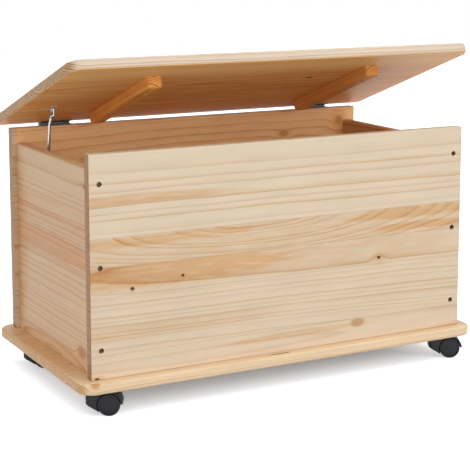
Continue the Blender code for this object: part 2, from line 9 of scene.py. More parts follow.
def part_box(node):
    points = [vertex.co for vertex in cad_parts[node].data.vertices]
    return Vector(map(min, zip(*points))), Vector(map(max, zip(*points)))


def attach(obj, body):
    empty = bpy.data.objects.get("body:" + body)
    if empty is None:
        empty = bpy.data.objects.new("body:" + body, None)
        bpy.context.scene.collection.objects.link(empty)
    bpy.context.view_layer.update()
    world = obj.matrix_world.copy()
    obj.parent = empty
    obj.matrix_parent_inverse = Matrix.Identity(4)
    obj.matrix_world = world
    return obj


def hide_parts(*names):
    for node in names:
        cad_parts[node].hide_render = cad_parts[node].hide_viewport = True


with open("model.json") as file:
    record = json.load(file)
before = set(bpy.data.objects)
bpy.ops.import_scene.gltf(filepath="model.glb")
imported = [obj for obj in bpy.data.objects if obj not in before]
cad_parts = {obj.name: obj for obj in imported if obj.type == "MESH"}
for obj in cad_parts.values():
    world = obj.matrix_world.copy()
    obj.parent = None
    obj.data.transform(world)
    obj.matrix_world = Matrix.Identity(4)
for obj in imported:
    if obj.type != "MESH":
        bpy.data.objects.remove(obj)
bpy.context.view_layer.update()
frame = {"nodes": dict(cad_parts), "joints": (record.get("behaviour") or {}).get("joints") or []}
scene = bpy.context.scene
joints = {joint["name"]: joint for joint in frame["joints"]}
print("frame loaded:", len(frame["nodes"]), "nodes")


def linear(code):
    # an sRGB hex colour as the linear values that a shader takes
    channels = [int(code[i:i + 2], 16) / 255 for i in (1, 3, 5)]
    return [c / 12.92 if c <= 0.04045 else ((c + 0.055) / 1.055) ** 2.4 for c in channels] + [1.0]


def addNode(tree, kind, inputs=None, **settings):
    # kind is the node's type without "ShaderNode"; inputs are keyed by name or number, and a node or
    # socket among them is linked, while anything else is the socket's value
    node = tree.nodes.new("ShaderNode" + kind)
    for name, value in settings.items():
        setattr(node, name, value)
    for key, value in (inputs or {}).items():
        if isinstance(value, bpy.types.Node):
            value = value.outputs[0]
        if isinstance(value, bpy.types.NodeSocket):
            tree.links.new(value, node.inputs[key])
        else:
            node.inputs[key].default_value = value
    return node


def setRamp(node, stops, interpolation="LINEAR"):
    # stops are (position, colour) from left to right
    ramp = node.color_ramp
    ramp.interpolation = interpolation
    while len(ramp.elements) > 1:
        ramp.elements.remove(ramp.elements[-1])
    ramp.elements[0].position, ramp.elements[0].color = stops[0]
    for position, colour in stops[1:]:
        ramp.elements.new(position).color = colour
    return node


def newMaterial(name):
    mat = bpy.data.materials.new(name)
    mat.use_nodes = True
    return mat, mat.node_tree, mat.node_tree.nodes["Principled BSDF"]


def distanceFrom(tree, place, point, stretch):
    # how far the place is from the point, each axis multiplied by its own stretch
    away = addNode(tree, "VectorMath", {0: place, 1: point}, operation="SUBTRACT")
    scaled = addNode(tree, "VectorMath", {0: away, 1: stretch}, operation="MULTIPLY")
    return addNode(tree, "VectorMath", {0: scaled}, operation="LENGTH").outputs["Value"]


def gathered(tree, before, value, operation="MAXIMUM"):
    # joins a value to those before it; the first is taken as it is
    if before is None:
        return value
    return addNode(tree, "Math", {0: before, 1: value}, operation=operation)


# The camera, at a seated person's height, from the front and left

cameraSetup = {"place": (-1.2393, -2.3049, 0.7956), "azimuth": -28.238, "elevation": -8.501,
               "lens": 108.328, "shiftDown": 0.181}
cameraData = bpy.data.cameras.new("camera")
cameraData.lens, cameraData.sensor_width = cameraSetup["lens"], 36
cameraData.shift_y = -cameraSetup["shiftDown"]
camera = bpy.data.objects.new("camera", cameraData)
camera.location = cameraSetup["place"]
camera.rotation_euler = (pi / 2 + radians(cameraSetup["elevation"]), 0, radians(cameraSetup["azimuth"]))
scene.collection.objects.link(camera)
scene.camera = camera


# A white studio: soft lamps at a plain level, a white floor that keeps the shadow

studio = {
    "ambient": 0.42, "floorSize": 14.0, "floorColour": "#EDF0FC", "bounceColour": "#B4B4B4",
    "half": (0.38, 0.19),   # of the ground that the chest stands on
    # the distance outside that ground, and the glow there
    "glow": [(-0.19, 0.04), (-0.08, 0.28), (-0.02, 0.52), (0.02, 0.86), (0.06, 1.1)],
    "aim": (0, 0, 0.3),     # the lamps look here
    "lamps": [
        {"name": "keyLamp", "place": (0.9, -3.2, 2.3), "size": 2.6, "watts": 50},
        {"name": "lowFrontLamp", "place": (0.2, -3.6, 0.75), "size": 1.5, "watts": 20},
        {"name": "fillLamp", "place": (-3.5, -1.4, 1.0), "size": 2.0, "watts": 24},
        {"name": "topLamp", "place": (0.2, 0.3, 3.4), "size": 2.6, "watts": 36},
    ],
}


def seenDirectly(tree):
    # 1 for rays that show the background itself: to the camera, in a reflection or through glass
    path = addNode(tree, "LightPath")
    first = addNode(tree, "Math", {0: path.outputs["Is Camera Ray"],
                                   1: path.outputs["Is Glossy Ray"]}, operation="MAXIMUM")
    return addNode(tree, "Math", {0: first, 1: path.outputs["Is Transmission Ray"]},
                   operation="MAXIMUM")


def makeStudio():
    scene.view_settings.view_transform = "Standard"
    world = bpy.data.worlds.new("studioWorld")
    world.use_nodes = True
    scene.world = world
    tree = world.node_tree
    seen = seenDirectly(tree)
    strength = addNode(tree, "MapRange", {0: seen, 3: studio["ambient"], 4: 1.0})
    background = tree.nodes["Background"]
    background.inputs["Color"].default_value = (1, 1, 1, 1)
    tree.links.new(strength.outputs[0], background.inputs["Strength"])
    for lamp in studio["lamps"]:
        light = bpy.data.lights.new(lamp["name"], "AREA")
        light.energy, light.size = lamp["watts"], lamp["size"]
        holder = bpy.data.objects.new(lamp["name"], light)
        holder.location = lamp["place"]
        back = Vector(lamp["place"]) - Vector(studio["aim"])
        holder.rotation_euler = back.to_track_quat("Z", "Y").to_euler()
        scene.collection.objects.link(holder)
    paper, tree, shader = newMaterial("seamlessPaper")
    seen = seenDirectly(tree)
    paint = addNode(tree, "Mix", {0: seen, 6: linear(studio["bounceColour"]),
                                  7: linear(studio["floorColour"])}, data_type="RGBA")
    tree.links.new(paint.outputs[2], shader.inputs["Base Color"])
    shader.inputs["Roughness"].default_value = 0.9
    shader.inputs["Specular IOR Level"].default_value = 0.0
    shader.inputs["Emission Color"].default_value = (1, 1, 1, 1)
    # the paper glows outside the ground under the chest, so only the shadow close to it is left
    place = addNode(tree, "TexCoord")
    folded = addNode(tree, "VectorMath", {0: place.outputs["Object"]}, operation="ABSOLUTE")
    beyond = addNode(tree, "VectorMath", {0: folded, 1: (*studio["half"], 0)}, operation="SUBTRACT")
    sides = addNode(tree, "SeparateXYZ", {0: beyond})
    outside = addNode(tree, "Math", {0: sides.outputs["X"], 1: sides.outputs["Y"]}, operation="MAXIMUM")
    first, last = studio["glow"][0][0], studio["glow"][-1][0]
    share = addNode(tree, "MapRange", {0: outside, 1: first, 2: last})
    ramp = setRamp(addNode(tree, "ValToRGB", {0: share}), [
        ((d - first) / (last - first), (g, g, g, 1)) for d, g in studio["glow"]])
    glow = addNode(tree, "Math", {0: seen, 1: ramp}, operation="MULTIPLY")
    tree.links.new(glow.outputs[0], shader.inputs["Emission Strength"])
    bm = bmesh.new()
    bmesh.ops.create_grid(bm, x_segments=1, y_segments=1, size=studio["floorSize"] / 2)
    mesh = bpy.data.meshes.new("studioFloor")
    bm.to_mesh(mesh)
    bm.free()
    mesh.materials.append(paper)
    floor = bpy.data.objects.new("studioFloor", mesh)
    scene.collection.objects.link(floor)


makeStudio()
print("camera and studio ready")


# Pine: edge-glued staves, planed and given a clear satin varnish. Each stave is a slice of a trunk, so its
# growth rings are shells about a pith line that tapers along the grain; the same shells make the lines and
# arches of the faces and the arcs of the end grain. Lengths are millimetres in the board's own grain frame:
# x along the grain, y across the staves, z into the board.

pine = {
    "sapEarly": "#E2CFB5", "sapLate": "#CDAA7F", "heartEarly": "#D8B083", "heartLate": "#BC8347",
    "endEarly": "#DDB687", "endLate": "#7A4A22", "knot": "#3A2110", "tanKnot": "#A5682F",
    "glueLine": "#A9855C",
    "wobble": (5.0, 1.2),  # how far the rings wander across the face, and in depth
    "wanderLong": 260.0, "wanderAcross": 40.0,
    "fibreLong": 16.0, "fibreAcross": 1.1,   # real fibres are 0.04 mm wide: drawn coarse enough to show
    "roughness": 0.44, "specular": 0.32, "bumpDepth": 0.00012,
}
ringShape = [(0.0, 0.0), (0.50, 0.04), (0.80, 0.45), (0.92, 1.0), (0.965, 0.75), (1.0, 0.0)]
farPith = 1000.0          # piths lie within this distance, so a ramp can hold them


def grainFrame(origin, along, across):
    # Rotation and offset of the Mapping node that turns object coordinates to grain coordinates
    along, across = Vector(along).normalized(), Vector(across).normalized()
    turn = Matrix((along, across, along.cross(across)))
    return turn.to_euler(), -(turn @ Vector(origin)) * 1000


def pineMaterial(name, board):
    mat, tree, shader = newMaterial(name)
    shader.inputs["Specular IOR Level"].default_value = board.get("specular", pine["specular"])
    turn, offset = grainFrame(board["origin"], board["along"], board["across"])
    place = addNode(tree, "TexCoord")
    grain = addNode(tree, "Mapping", {"Vector": place.outputs["Object"], "Location": offset,
                                      "Rotation": turn, "Scale": (1000, 1000, 1000)})
    facing = addNode(tree, "Mapping", {"Vector": place.outputs["Normal"], "Rotation": turn},
                     vector_type="NORMAL")
    axes = addNode(tree, "SeparateXYZ", {0: grain})
    across = axes.outputs["Y"]

    # the rings wander a little along the trunk
    stretched = addNode(tree, "VectorMath", {0: grain, 1: (
        1 / pine["wanderLong"], 1 / pine["wanderAcross"], 1 / pine["wanderAcross"])}, operation="MULTIPLY")
    seeded = addNode(tree, "VectorMath", {0: stretched, 1: (board["seed"], 0, 0)}, operation="ADD")
    wander = addNode(tree, "TexNoise", {"Vector": seeded, "Scale": 1.0, "Detail": 2.0})
    centred = addNode(tree, "VectorMath", {0: wander.outputs["Color"], 1: (0.5, 0.5, 0.5)},
                      operation="SUBTRACT")
    moved = addNode(tree, "VectorMath", {0: centred, 1: (0, *[2 * w for w in pine["wobble"]]),
                                         2: grain}, operation="MULTIPLY_ADD")

    # each stave's pith, taper, ring width and heartwood share, held in ramps across the board
    staves, width = board["staves"], board["width"]
    share = addNode(tree, "Math", {0: across, 1: width}, operation="DIVIDE")
    share.use_clamp = True
    piths = setRamp(addNode(tree, "ValToRGB", {0: share}), [
        (s["from"] / width, [p / farPith / 2 + 0.5 for p in s["pith"]] + [1.0])
        for s in staves], "CONSTANT")
    kinds = setRamp(addNode(tree, "ValToRGB", {0: share}), [
        (s["from"] / width, [s["taper"], s["ring"] / 40, s["heart"], 1.0]) for s in staves], "CONSTANT")
    kind = addNode(tree, "SeparateColor", {0: kinds})
    pith = addNode(tree, "VectorMath", {0: piths, 1: (2 * farPith,) * 3, 2: (-farPith,) * 3},
                   operation="MULTIPLY_ADD")
    taper = addNode(tree, "CombineXYZ", {0: kind.outputs[0], 1: 1.0, 2: 1.0})
    radius = distanceFrom(tree, moved, pith, taper)

    # knots: dark at the heart, with a warm halo that the rings bend round
    knotCore, tanCore, halo, bend = None, None, None, None
    for knot in board.get("knots", []):
        x, y = knot["at"]
        long, tall = knot["half"]
        far = distanceFrom(tree, moved if knot.get("loose") else grain, (x, y, 0),
                           (1 / long, 1 / tall, 1 / knot.get("deep", 40)))
        core = addNode(tree, "MapRange", {0: far, 1: 1.25, 2: 0.75}, interpolation_type="SMOOTHSTEP")
        glow = addNode(tree, "MapRange", {0: far, 1: knot.get("halo", 5.0), 2: 0.8,
                                         4: knot.get("glow", 0.8)}, interpolation_type="SMOOTHSTEP")
        if knot.get("tan"):
            tanCore = gathered(tree, tanCore, core)
            ringed = addNode(tree, "Math", {0: far, 1: 3.2 * tall}, operation="MULTIPLY")
            radius = addNode(tree, "Mix", {0: core, 2: radius, 3: ringed}).outputs[0]
        else:
            knotCore = gathered(tree, knotCore, core)
        halo = gathered(tree, halo, glow)
        push = addNode(tree, "Math", {0: glow, 1: knot.get("push", 1.2) * tall}, operation="MULTIPLY")
        bend = gathered(tree, bend, push, "ADD")
    if bend is not None:
        radius = addNode(tree, "Math", {0: radius, 1: bend}, operation="ADD")

    # ring number, its place within the ring, and how dark that ring's latewood is
    ringWidth = addNode(tree, "Math", {0: kind.outputs[1], 1: 40.0}, operation="MULTIPLY")
    count = addNode(tree, "Math", {0: radius, 1: ringWidth}, operation="DIVIDE")
    uneven = addNode(tree, "TexNoise", {"W": count, "Scale": 0.45, "Detail": 0.0},
                     noise_dimensions="1D")
    ring = addNode(tree, "Math", {0: uneven, 1: 1.6, 2: count}, operation="MULTIPLY_ADD")
    within = addNode(tree, "Math", {0: ring}, operation="FRACT")
    late = setRamp(addNode(tree, "ValToRGB", {0: within}),
                   [(p, (v, v, v, 1)) for p, v in ringShape])
    number = addNode(tree, "Math", {0: ring}, operation="FLOOR")
    chance = addNode(tree, "TexWhiteNoise", {"W": number}, noise_dimensions="1D")
    strength = addNode(tree, "MapRange", {0: chance, 3: board.get("faint", 0.35), 4: 1.0})
    fade = addNode(tree, "MapRange", {0: wander, 1: 0.3, 2: 0.7, 3: 0.65, 4: 1.0})
    lateWood = addNode(tree, "Math", {0: late, 1: strength}, operation="MULTIPLY")
    lateWood = addNode(tree, "Math", {0: lateWood, 1: fade}, operation="MULTIPLY")
    lateWood = addNode(tree, "Math", {0: lateWood, 1: board.get("lines", 1.0)}, operation="MULTIPLY")

    # heartwood: the stave's own share, and long warm streaks in it
    patchy = addNode(tree, "MapRange", {0: wander, 1: 0.25, 2: 0.75, 3: 0.5, 4: 1.5})
    heart = addNode(tree, "Math", {0: kind.outputs[2], 1: patchy}, operation="MULTIPLY")
    for streak in board.get("streaks", []):
        x, y = streak["at"]
        long, tall = streak["half"]
        far = distanceFrom(tree, moved, (x, y, 0), (1 / long, 1 / tall, 0))
        warm = addNode(tree, "MapRange", {0: far, 1: 1.15, 2: 0.55, 4: streak["heart"]},
                       interpolation_type="SMOOTHSTEP")
        low, high = streak.get("between", (-farPith, farPith))
        above = addNode(tree, "Math", {0: across, 1: low}, operation="GREATER_THAN")
        below = addNode(tree, "Math", {0: across, 1: high}, operation="LESS_THAN")
        inside = addNode(tree, "Math", {0: above, 1: below}, operation="MULTIPLY")
        heart = addNode(tree, "Math", {0: warm, 1: inside, 2: heart}, operation="MULTIPLY_ADD")
    flecks = addNode(tree, "TexNoise", {"Vector": stretched, "Scale": 5.0, "Detail": 4.0})
    mottle = addNode(tree, "MapRange", {0: flecks, 1: 0.35, 2: 0.65, 3: 0.6, 4: 1.35})
    heart = addNode(tree, "Math", {0: heart, 1: mottle}, operation="MULTIPLY")
    if halo is not None:
        heart = addNode(tree, "Math", {0: heart, 1: halo}, operation="MAXIMUM")
    heart.use_clamp = True

    # colours of the faces
    early = addNode(tree, "Mix", {0: heart, 6: linear(pine["sapEarly"]), 7: linear(pine["heartEarly"])},
                    data_type="RGBA")
    darker = addNode(tree, "Mix", {0: heart, 6: linear(pine["sapLate"]), 7: linear(pine["heartLate"])},
                     data_type="RGBA")
    face = addNode(tree, "Mix", {0: lateWood, 6: early.outputs[2], 7: darker.outputs[2]},
                   data_type="RGBA").outputs[2]

    # end grain takes more varnish, so it is darker and its rings are stronger
    turned = addNode(tree, "SeparateXYZ", {0: facing})
    endOn = addNode(tree, "Math", {0: turned.outputs["X"]}, operation="ABSOLUTE")
    ended = addNode(tree, "MapRange", {0: endOn, 1: 0.45, 2: 0.9}, interpolation_type="SMOOTHSTEP")
    endRing = addNode(tree, "MapRange", {0: late, 2: 0.8, 4: board.get("endRings", 0.5)})
    endWood = addNode(tree, "Mix", {0: endRing, 6: linear(pine["endEarly"]), 7: linear(pine["endLate"])},
                      data_type="RGBA").outputs[2]
    if "endTint" in board:
        endWood = addNode(tree, "Mix", {0: 1.0, 6: endWood, 7: linear(board["endTint"])},
                          data_type="RGBA", blend_type="MULTIPLY").outputs[2]
    wood = addNode(tree, "Mix", {0: ended, 6: face, 7: endWood}, data_type="RGBA").outputs[2]

    # broad light and dark areas, and fine fibres along the grain
    fibreScale = addNode(tree, "VectorMath", {0: moved, 1: (
        1 / pine["fibreLong"], 1 / pine["fibreAcross"], 1 / pine["fibreAcross"])}, operation="MULTIPLY")
    fibre = addNode(tree, "TexNoise", {"Vector": fibreScale, "Scale": 1.0, "Detail": 3.0})
    blotch = addNode(tree, "TexNoise", {"Vector": stretched, "Scale": 2.3, "Detail": 1.0})
    tone = addNode(tree, "Math", {0: blotch, 1: 0.16, 2: board.get("tone", 1.0) - 0.08},
                   operation="MULTIPLY_ADD")
    tone = addNode(tree, "Math", {0: fibre, 1: 0.10, 2: tone}, operation="MULTIPLY_ADD")
    tone = addNode(tree, "Math", {0: tone, 1: 0.05}, operation="SUBTRACT")
    wood = addNode(tree, "VectorMath", {0: wood, "Scale": tone}, operation="SCALE").outputs[0]
    if "underTint" in board:
        # painted light: faces whose grain Z points back (the lid's underside, the back panel's inner face)
        # are recoloured for how light falls there: a painted warm shade under the lid, and a painted
        # brightening of the back panel's inner face, which the lid shades
        under = addNode(tree, "MapRange", {0: turned.outputs["Z"], 1: -0.5, 2: -0.85})
        inward = addNode(tree, "Math", {0: axes.outputs["X"], 1: board.get("bare", -10)},
                         operation="GREATER_THAN")
        under = addNode(tree, "Math", {0: under, 1: inward}, operation="MULTIPLY")
        paintedLightColour = [c * board.get("underTone", 1.0) for c in linear(board["underTint"])]
        wood = addNode(tree, "Mix", {0: under, 6: wood, 7: paintedLightColour}, data_type="RGBA",
                       blend_type="MULTIPLY").outputs[2]
    if "tint" in board:
        wood = addNode(tree, "Mix", {0: 1.0, 6: wood, 7: linear(board["tint"])}, data_type="RGBA",
                       blend_type="MULTIPLY").outputs[2]

    # hair-thin glue lines, and the knots' own colours
    for stave in staves[1:]:
        joint = addNode(tree, "Math", {0: across, 1: stave["from"], 2: 0.35}, operation="COMPARE")
        thin = addNode(tree, "Math", {0: joint, 1: 0.45}, operation="MULTIPLY")
        wood = addNode(tree, "Mix", {0: thin, 6: wood, 7: linear(pine["glueLine"])},
                       data_type="RGBA").outputs[2]
    if tanCore is not None:
        part = addNode(tree, "Math", {0: tanCore, 1: 0.45}, operation="MULTIPLY")
        wood = addNode(tree, "Mix", {0: part, 6: wood, 7: linear(pine["tanKnot"])},
                       data_type="RGBA").outputs[2]
    if knotCore is not None:
        wood = addNode(tree, "Mix", {0: knotCore, 6: wood, 7: linear(pine["knot"])},
                       data_type="RGBA").outputs[2]
    tree.links.new(wood, shader.inputs["Base Color"])

    # satin varnish: the latewood stands a little proud and takes a little more polish
    gloss = addNode(tree, "Math", {0: lateWood, 1: -0.06, 2: pine["roughness"]}, operation="MULTIPLY_ADD")
    gloss = addNode(tree, "Math", {0: fibre, 1: 0.08, 2: gloss}, operation="MULTIPLY_ADD")
    tree.links.new(gloss.outputs[0], shader.inputs["Roughness"])
    relief = addNode(tree, "Math", {0: fibre, 1: 0.5, 2: lateWood}, operation="MULTIPLY_ADD")
    bump = addNode(tree, "Bump", {"Height": relief, "Strength": 0.6, "Distance": pine["bumpDepth"]})
    tree.links.new(bump.outputs[0], shader.inputs["Normal"])
    return mat


# Where each board's grain starts and which way it runs. The lid's frame turns with the open lid.

hinge = joints["lid_hinge"]
hingeAxis = Vector(hinge["pos_m"])
lidOpen = radians(-hinge["range_deg"][0])
lidRest = Matrix.Translation(hingeAxis) @ Matrix.Rotation(-lidOpen, 4, "X")


def corner(node, sides):
    # a corner of a node's box, each side -1 for the low end or 1 for the high end
    low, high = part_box(node)
    return Vector(high[i] if side > 0 else low[i] for i, side in enumerate(sides))


def lidVector(x, y, z):
    return lidRest.to_3x3() @ Vector((x, y, z))


# the lid in its own frame: the hinge pins' line at the origin, the closed lid reaching towards -Y
lowLid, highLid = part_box("lid_panel")
lid = {"width": highLid.x - lowLid.x, "reach": 0.4095, "rearEdge": 0.003, "lift": 0.0018, "thick": 0.019,
       "rearSpan": 0.012}

boards = {
    "front_panel": {
        "origin": corner("front_panel", (-1, -1, 1)), "along": (1, 0, 0), "across": (0, 0, -1),
        "width": 381, "seed": 0.0, "endTint": "#C7AC93", "tone": 1.03, "lines": 1.15,
        "staves": [
            {"from": 0, "pith": (500, -4, 120), "taper": 0.02, "ring": 10.0, "heart": 0.0},
            {"from": 141, "pith": (318, 134, 3), "taper": 0.16, "ring": 7.4, "heart": 0.4},
            {"from": 191, "pith": (650, 205, 85), "taper": 0.05, "ring": 6.0, "heart": 0.10},
            {"from": 242, "pith": (-150, 420, 40), "taper": 0.07, "ring": 9.0, "heart": 0.05},
            {"from": 340, "pith": (200, 362, 3), "taper": 0.037, "ring": 13.0, "heart": 0.05},
        ],
        "streaks": [
            {"at": (60, 79), "half": (230, 10), "heart": 0.75, "between": (0, 141)},
            {"at": (90, 200), "half": (330, 34), "heart": 0.95, "between": (191, 242)},
            {"at": (640, 153), "half": (150, 12), "heart": 0.9, "between": (141, 191)},
            {"at": (720, 179), "half": (180, 8), "heart": 0.9, "between": (141, 191)},
            {"at": (150, 150), "half": (170, 10), "heart": 0.6, "between": (141, 191)},
            {"at": (500, 215), "half": (300, 30), "heart": 0.3, "between": (191, 242)},
            {"at": (60, 305), "half": (330, 16), "heart": 0.35, "between": (242, 340)},
            {"at": (400, 351), "half": (170, 6), "heart": 0.6, "between": (340, 381)},
        ],
        "knots": [
            {"at": (76, 231), "half": (3.6, 3.0), "halo": 3.0, "push": 0.5},
            {"at": (170, 219), "half": (3.0, 2.4), "halo": 3.0, "push": 0.5},
            {"at": (570, 231), "half": (3.6, 2.8), "halo": 8.0, "glow": 0.7},
            {"at": (525, 348), "half": (14, 7), "tan": True, "halo": 1.8, "glow": 0.6, "push": 0.6},
            {"at": (10, 378), "half": (4.5, 1.6)},
        ],
    },
    "back_panel": {
        "origin": corner("back_panel", (-1, -1, 1)), "along": (1, 0, 0), "across": (0, 0, -1),
        # painted light: the inner face is brightened and warmed where the lid shades it, all but its first
        # 10 mm along the grain
        "width": 381, "seed": 3.7, "endTint": "#D0C4B4", "underTint": "#FFE8C6", "underTone": 1.42,
        "bare": 10, "lines": 1.5,
        "staves": [
            {"from": 0, "pith": (430, 70, 60), "taper": 0.07, "ring": 7.0, "heart": 0.35},
            {"from": 96, "pith": (200, 60, 40), "taper": 0.05, "ring": 8.0, "heart": 0.15},
            {"from": 190, "pith": (600, 250, 90), "taper": 0.06, "ring": 6.0, "heart": 0.3},
            {"from": 285, "pith": (100, 330, 10), "taper": 0.10, "ring": 9.0, "heart": 0.1},
        ],
        "knots": [
            {"at": (582, 48), "half": (10, 6), "tan": True, "halo": 4.0, "glow": 0.7, "push": 0.4,
             "loose": True},
            {"at": (715, 28), "half": (9, 10), "tan": True, "halo": 4.0, "glow": 0.9, "push": 0.5,
             "loose": True},
            {"at": (250, 210), "half": (8, 6), "tan": True, "halo": 4.0},
        ],
    },
    "side_panel_left": {
        "origin": corner("side_panel_left", (-1, 1, 1)), "along": (0, -1, 0), "across": (0, 0, -1),
        "width": 354.5, "seed": 7.1, "tone": 1.13, "tint": "#FCE9D4", "lines": 2.6, "faint": 0.2,
        "staves": [
            {"from": 0, "pith": (150, -10, 90), "taper": 0.03, "ring": 9.0, "heart": 0.0},
            {"from": 78, "pith": (-60, 70, 24), "taper": 0.05, "ring": 8.0, "heart": 0.3},
            {"from": 184, "pith": (-60, 150, 60), "taper": 0.04, "ring": 10.0, "heart": 0.15},
            {"from": 333, "pith": (170, 352, 6), "taper": 0.12, "ring": 9.0, "heart": 0.25},
        ],
        "streaks": [
            {"at": (150, 160), "half": (330, 26), "heart": 0.8, "between": (78, 184)},
            {"at": (120, 108), "half": (300, 7), "heart": 0.8, "between": (78, 184)},
            {"at": (10, 160), "half": (45, 190), "heart": 0.45},
        ],
        "knots": [
            {"at": (331, 33), "half": (8, 2.2), "halo": 4.5},
            {"at": (308, 322), "half": (16, 9), "tan": True, "halo": 2.6, "glow": 0.8},
        ],
    },
    "side_panel_right": {
        "origin": corner("side_panel_right", (1, -1, 1)), "along": (0, 1, 0), "across": (0, 0, -1),
        # painted shade: this board is darkened and warmed all over for the shade on its inner face, in the
        # corner under the lid
        "width": 354.5, "seed": 11.3, "tone": 0.9, "tint": "#FFE2B8", "lines": 1.4,
        "staves": [
            {"from": 0, "pith": (120, 30, 60), "taper": 0.06, "ring": 8.0, "heart": 0.45},
            {"from": 92, "pith": (300, 60, 40), "taper": 0.05, "ring": 9.0, "heart": 0.1},
            {"from": 200, "pith": (0, 330, 20), "taper": 0.08, "ring": 8.0, "heart": 0.25},
            {"from": 300, "pith": (200, 280, 70), "taper": 0.05, "ring": 7.0, "heart": 0.1},
        ],
        "knots": [{"at": (210, 130), "half": (9, 7), "tan": True, "halo": 2.8}],
    },
    "base_board": {
        "origin": corner("base_board", (-1, -1, 1)), "along": (1, 0, 0), "across": (0, 1, 0),
        "width": 429, "seed": 15.9, "tone": 1.17, "tint": "#FFF7EC", "endRings": 0.7,
        "staves": [
            {"from": 0, "pith": (350, 60, -60), "taper": 0.05, "ring": 4.6, "heart": 0.04},
            {"from": 94, "pith": (500, 130, -30), "taper": 0.06, "ring": 4.2, "heart": 0.25},
            {"from": 200, "pith": (100, 330, -50), "taper": 0.05, "ring": 3.8, "heart": 0.45},
            {"from": 318, "pith": (350, 350, -40), "taper": 0.05, "ring": 4.4, "heart": 0.35},
        ],
        "streaks": [{"at": (8, 230), "half": (34, 200), "heart": 0.5}],
        "knots": [
            {"at": (380, 12), "half": (22, 1.8), "halo": 2.5, "push": 0.5},
            {"at": (24, 3), "half": (7, 4), "tan": True, "halo": 2.0, "deep": 7},
        ],
    },
    "lid_panel": {
        "origin": lidRest @ Vector((-lid["width"] / 2, -lid["reach"], lid["lift"] + lid["thick"])),
        "along": (1, 0, 0), "across": lidVector(0, 1, 0),
        "width": 406.5, "seed": 21.4, "tone": 1.12, "tint": "#F4F6FF",
        # painted shade: the underside is given a deeper, warmer colour for the shade and warm bounce light
        # under the lid
        "underTint": "#FFDA9E", "underTone": 1.29, "lines": 2.2, "specular": 0.12, "endRings": 1.0,
        "staves": [
            {"from": 0, "pith": (420, 46, -70), "taper": 0.03, "ring": 4.4, "heart": 0.04},
            {"from": 84, "pith": (700, 150, 50), "taper": 0.05, "ring": 5.2, "heart": 0.5},
            {"from": 222, "pith": (200, 290, -50), "taper": 0.04, "ring": 4.8, "heart": 0.7},
            {"from": 330, "pith": (500, 300, 45), "taper": 0.05, "ring": 5.0, "heart": 0.5},
        ],
        "streaks": [
            {"at": (510, 215), "half": (130, 9), "heart": 0.8, "between": (84, 222)},
            {"at": (245, 212), "half": (35, 16), "heart": 0.7},
            {"at": (255, 265), "half": (45, 14), "heart": 0.8},
        ],
        "knots": [{"at": (527, 143), "half": (9, 5), "halo": 2.4}],
    },
    "lid_batten_left": {
        "origin": lidRest @ Vector((-0.222, -0.338, -0.018)), "along": lidVector(0, 1, 0),
        "across": (1, 0, 0), "width": 27, "seed": 31.0, "tone": 1.3, "tint": "#FFD68C", "lines": 1.4,
        "endRings": 1.0,
        "staves": [{"from": 0, "pith": (500, -14, 26), "taper": 0.03, "ring": 5.0, "heart": 0.8}],
    },
    "lid_batten_right": {
        "origin": lidRest @ Vector((0.222, -0.338, -0.018)), "along": lidVector(0, 1, 0),
        "across": (1, 0, 0), "width": 27, "seed": 37.0, "tone": 1.1, "tint": "#FFD088", "lines": 1.4,
        "endRings": 1.0,
        "staves": [{"from": 0, "pith": (100, 18, 34), "taper": 0.03, "ring": 5.0, "heart": 0.8}],
    },
}
woods = {name: pineMaterial(name + "Pine", board) for name, board in boards.items()}
print("pine ready:", len(woods), "boards")


# Shapes: solids are built as bmesh and joined or cut by Boolean, then made a piece that rides on its body

def meshOf(bm, name):
    mesh = bpy.data.meshes.new(name)
    bm.to_mesh(mesh)
    bm.free()
    return mesh


def combine(bm, tool, operation="DIFFERENCE"):
    # the first solid cut by, or joined to, the second; both are used up
    holders = []
    for shape, name in ((bm, "work"), (tool, "tool")):
        holder = bpy.data.objects.new(name, meshOf(shape, name))
        scene.collection.objects.link(holder)
        holders.append(holder)
    work, cutter = holders
    change = work.modifiers.new("combine", "BOOLEAN")
    change.operation, change.object = operation, cutter
    bpy.context.view_layer.update()
    made = bpy.data.meshes.new_from_object(work.evaluated_get(bpy.context.evaluated_depsgraph_get()))
    result = bmesh.new()
    result.from_mesh(made)
    bmesh.ops.remove_doubles(result, verts=result.verts, dist=1e-6)
    for holder in holders:
        mesh = holder.data
        bpy.data.objects.remove(holder)
        bpy.data.meshes.remove(mesh)
    bpy.data.meshes.remove(made)
    return result


def boxShape(size, centre=(0, 0, 0)):
    bm = bmesh.new()
    bmesh.ops.create_cube(bm, size=1, matrix=Matrix.Translation(centre) @ Matrix.Diagonal((*size, 1)))
    return bm


def roundEdges(bm, chosen, radius, segments):
    # rounds the edges for which chosen(middle, direction, edge) is true
    picked = []
    for edge in bm.edges:
        a, b = (v.co for v in edge.verts)
        if chosen((a + b) / 2, (b - a).normalized(), edge):
            picked.append(edge)
    bmesh.ops.bevel(bm, geom=picked, affect="EDGES", offset=radius, segments=segments, profile=0.5,
                    material=-1)
    return bm


def isSharp(middle, direction, edge):
    return len(edge.link_faces) == 2 and edge.calc_face_angle() > radians(40)


def isUpright(middle, direction, edge):
    return abs(direction.z) > 0.9


def addRod(bm, start, end, radius, segments=24, tip=None):
    # a closed cylinder between two points, or a cone where the tip's radius is given
    start, end = Vector(start), Vector(end)
    turn = (end - start).to_track_quat("Z", "Y").to_matrix().to_4x4()
    bmesh.ops.create_cone(bm, cap_ends=True, segments=segments, radius1=radius,
                          radius2=radius if tip is None else tip, depth=(end - start).length,
                          matrix=Matrix.Translation((start + end) / 2) @ turn)
    return bm


def rodShape(start, end, radius, segments=24, tip=None):
    return addRod(bmesh.new(), start, end, radius, segments, tip)


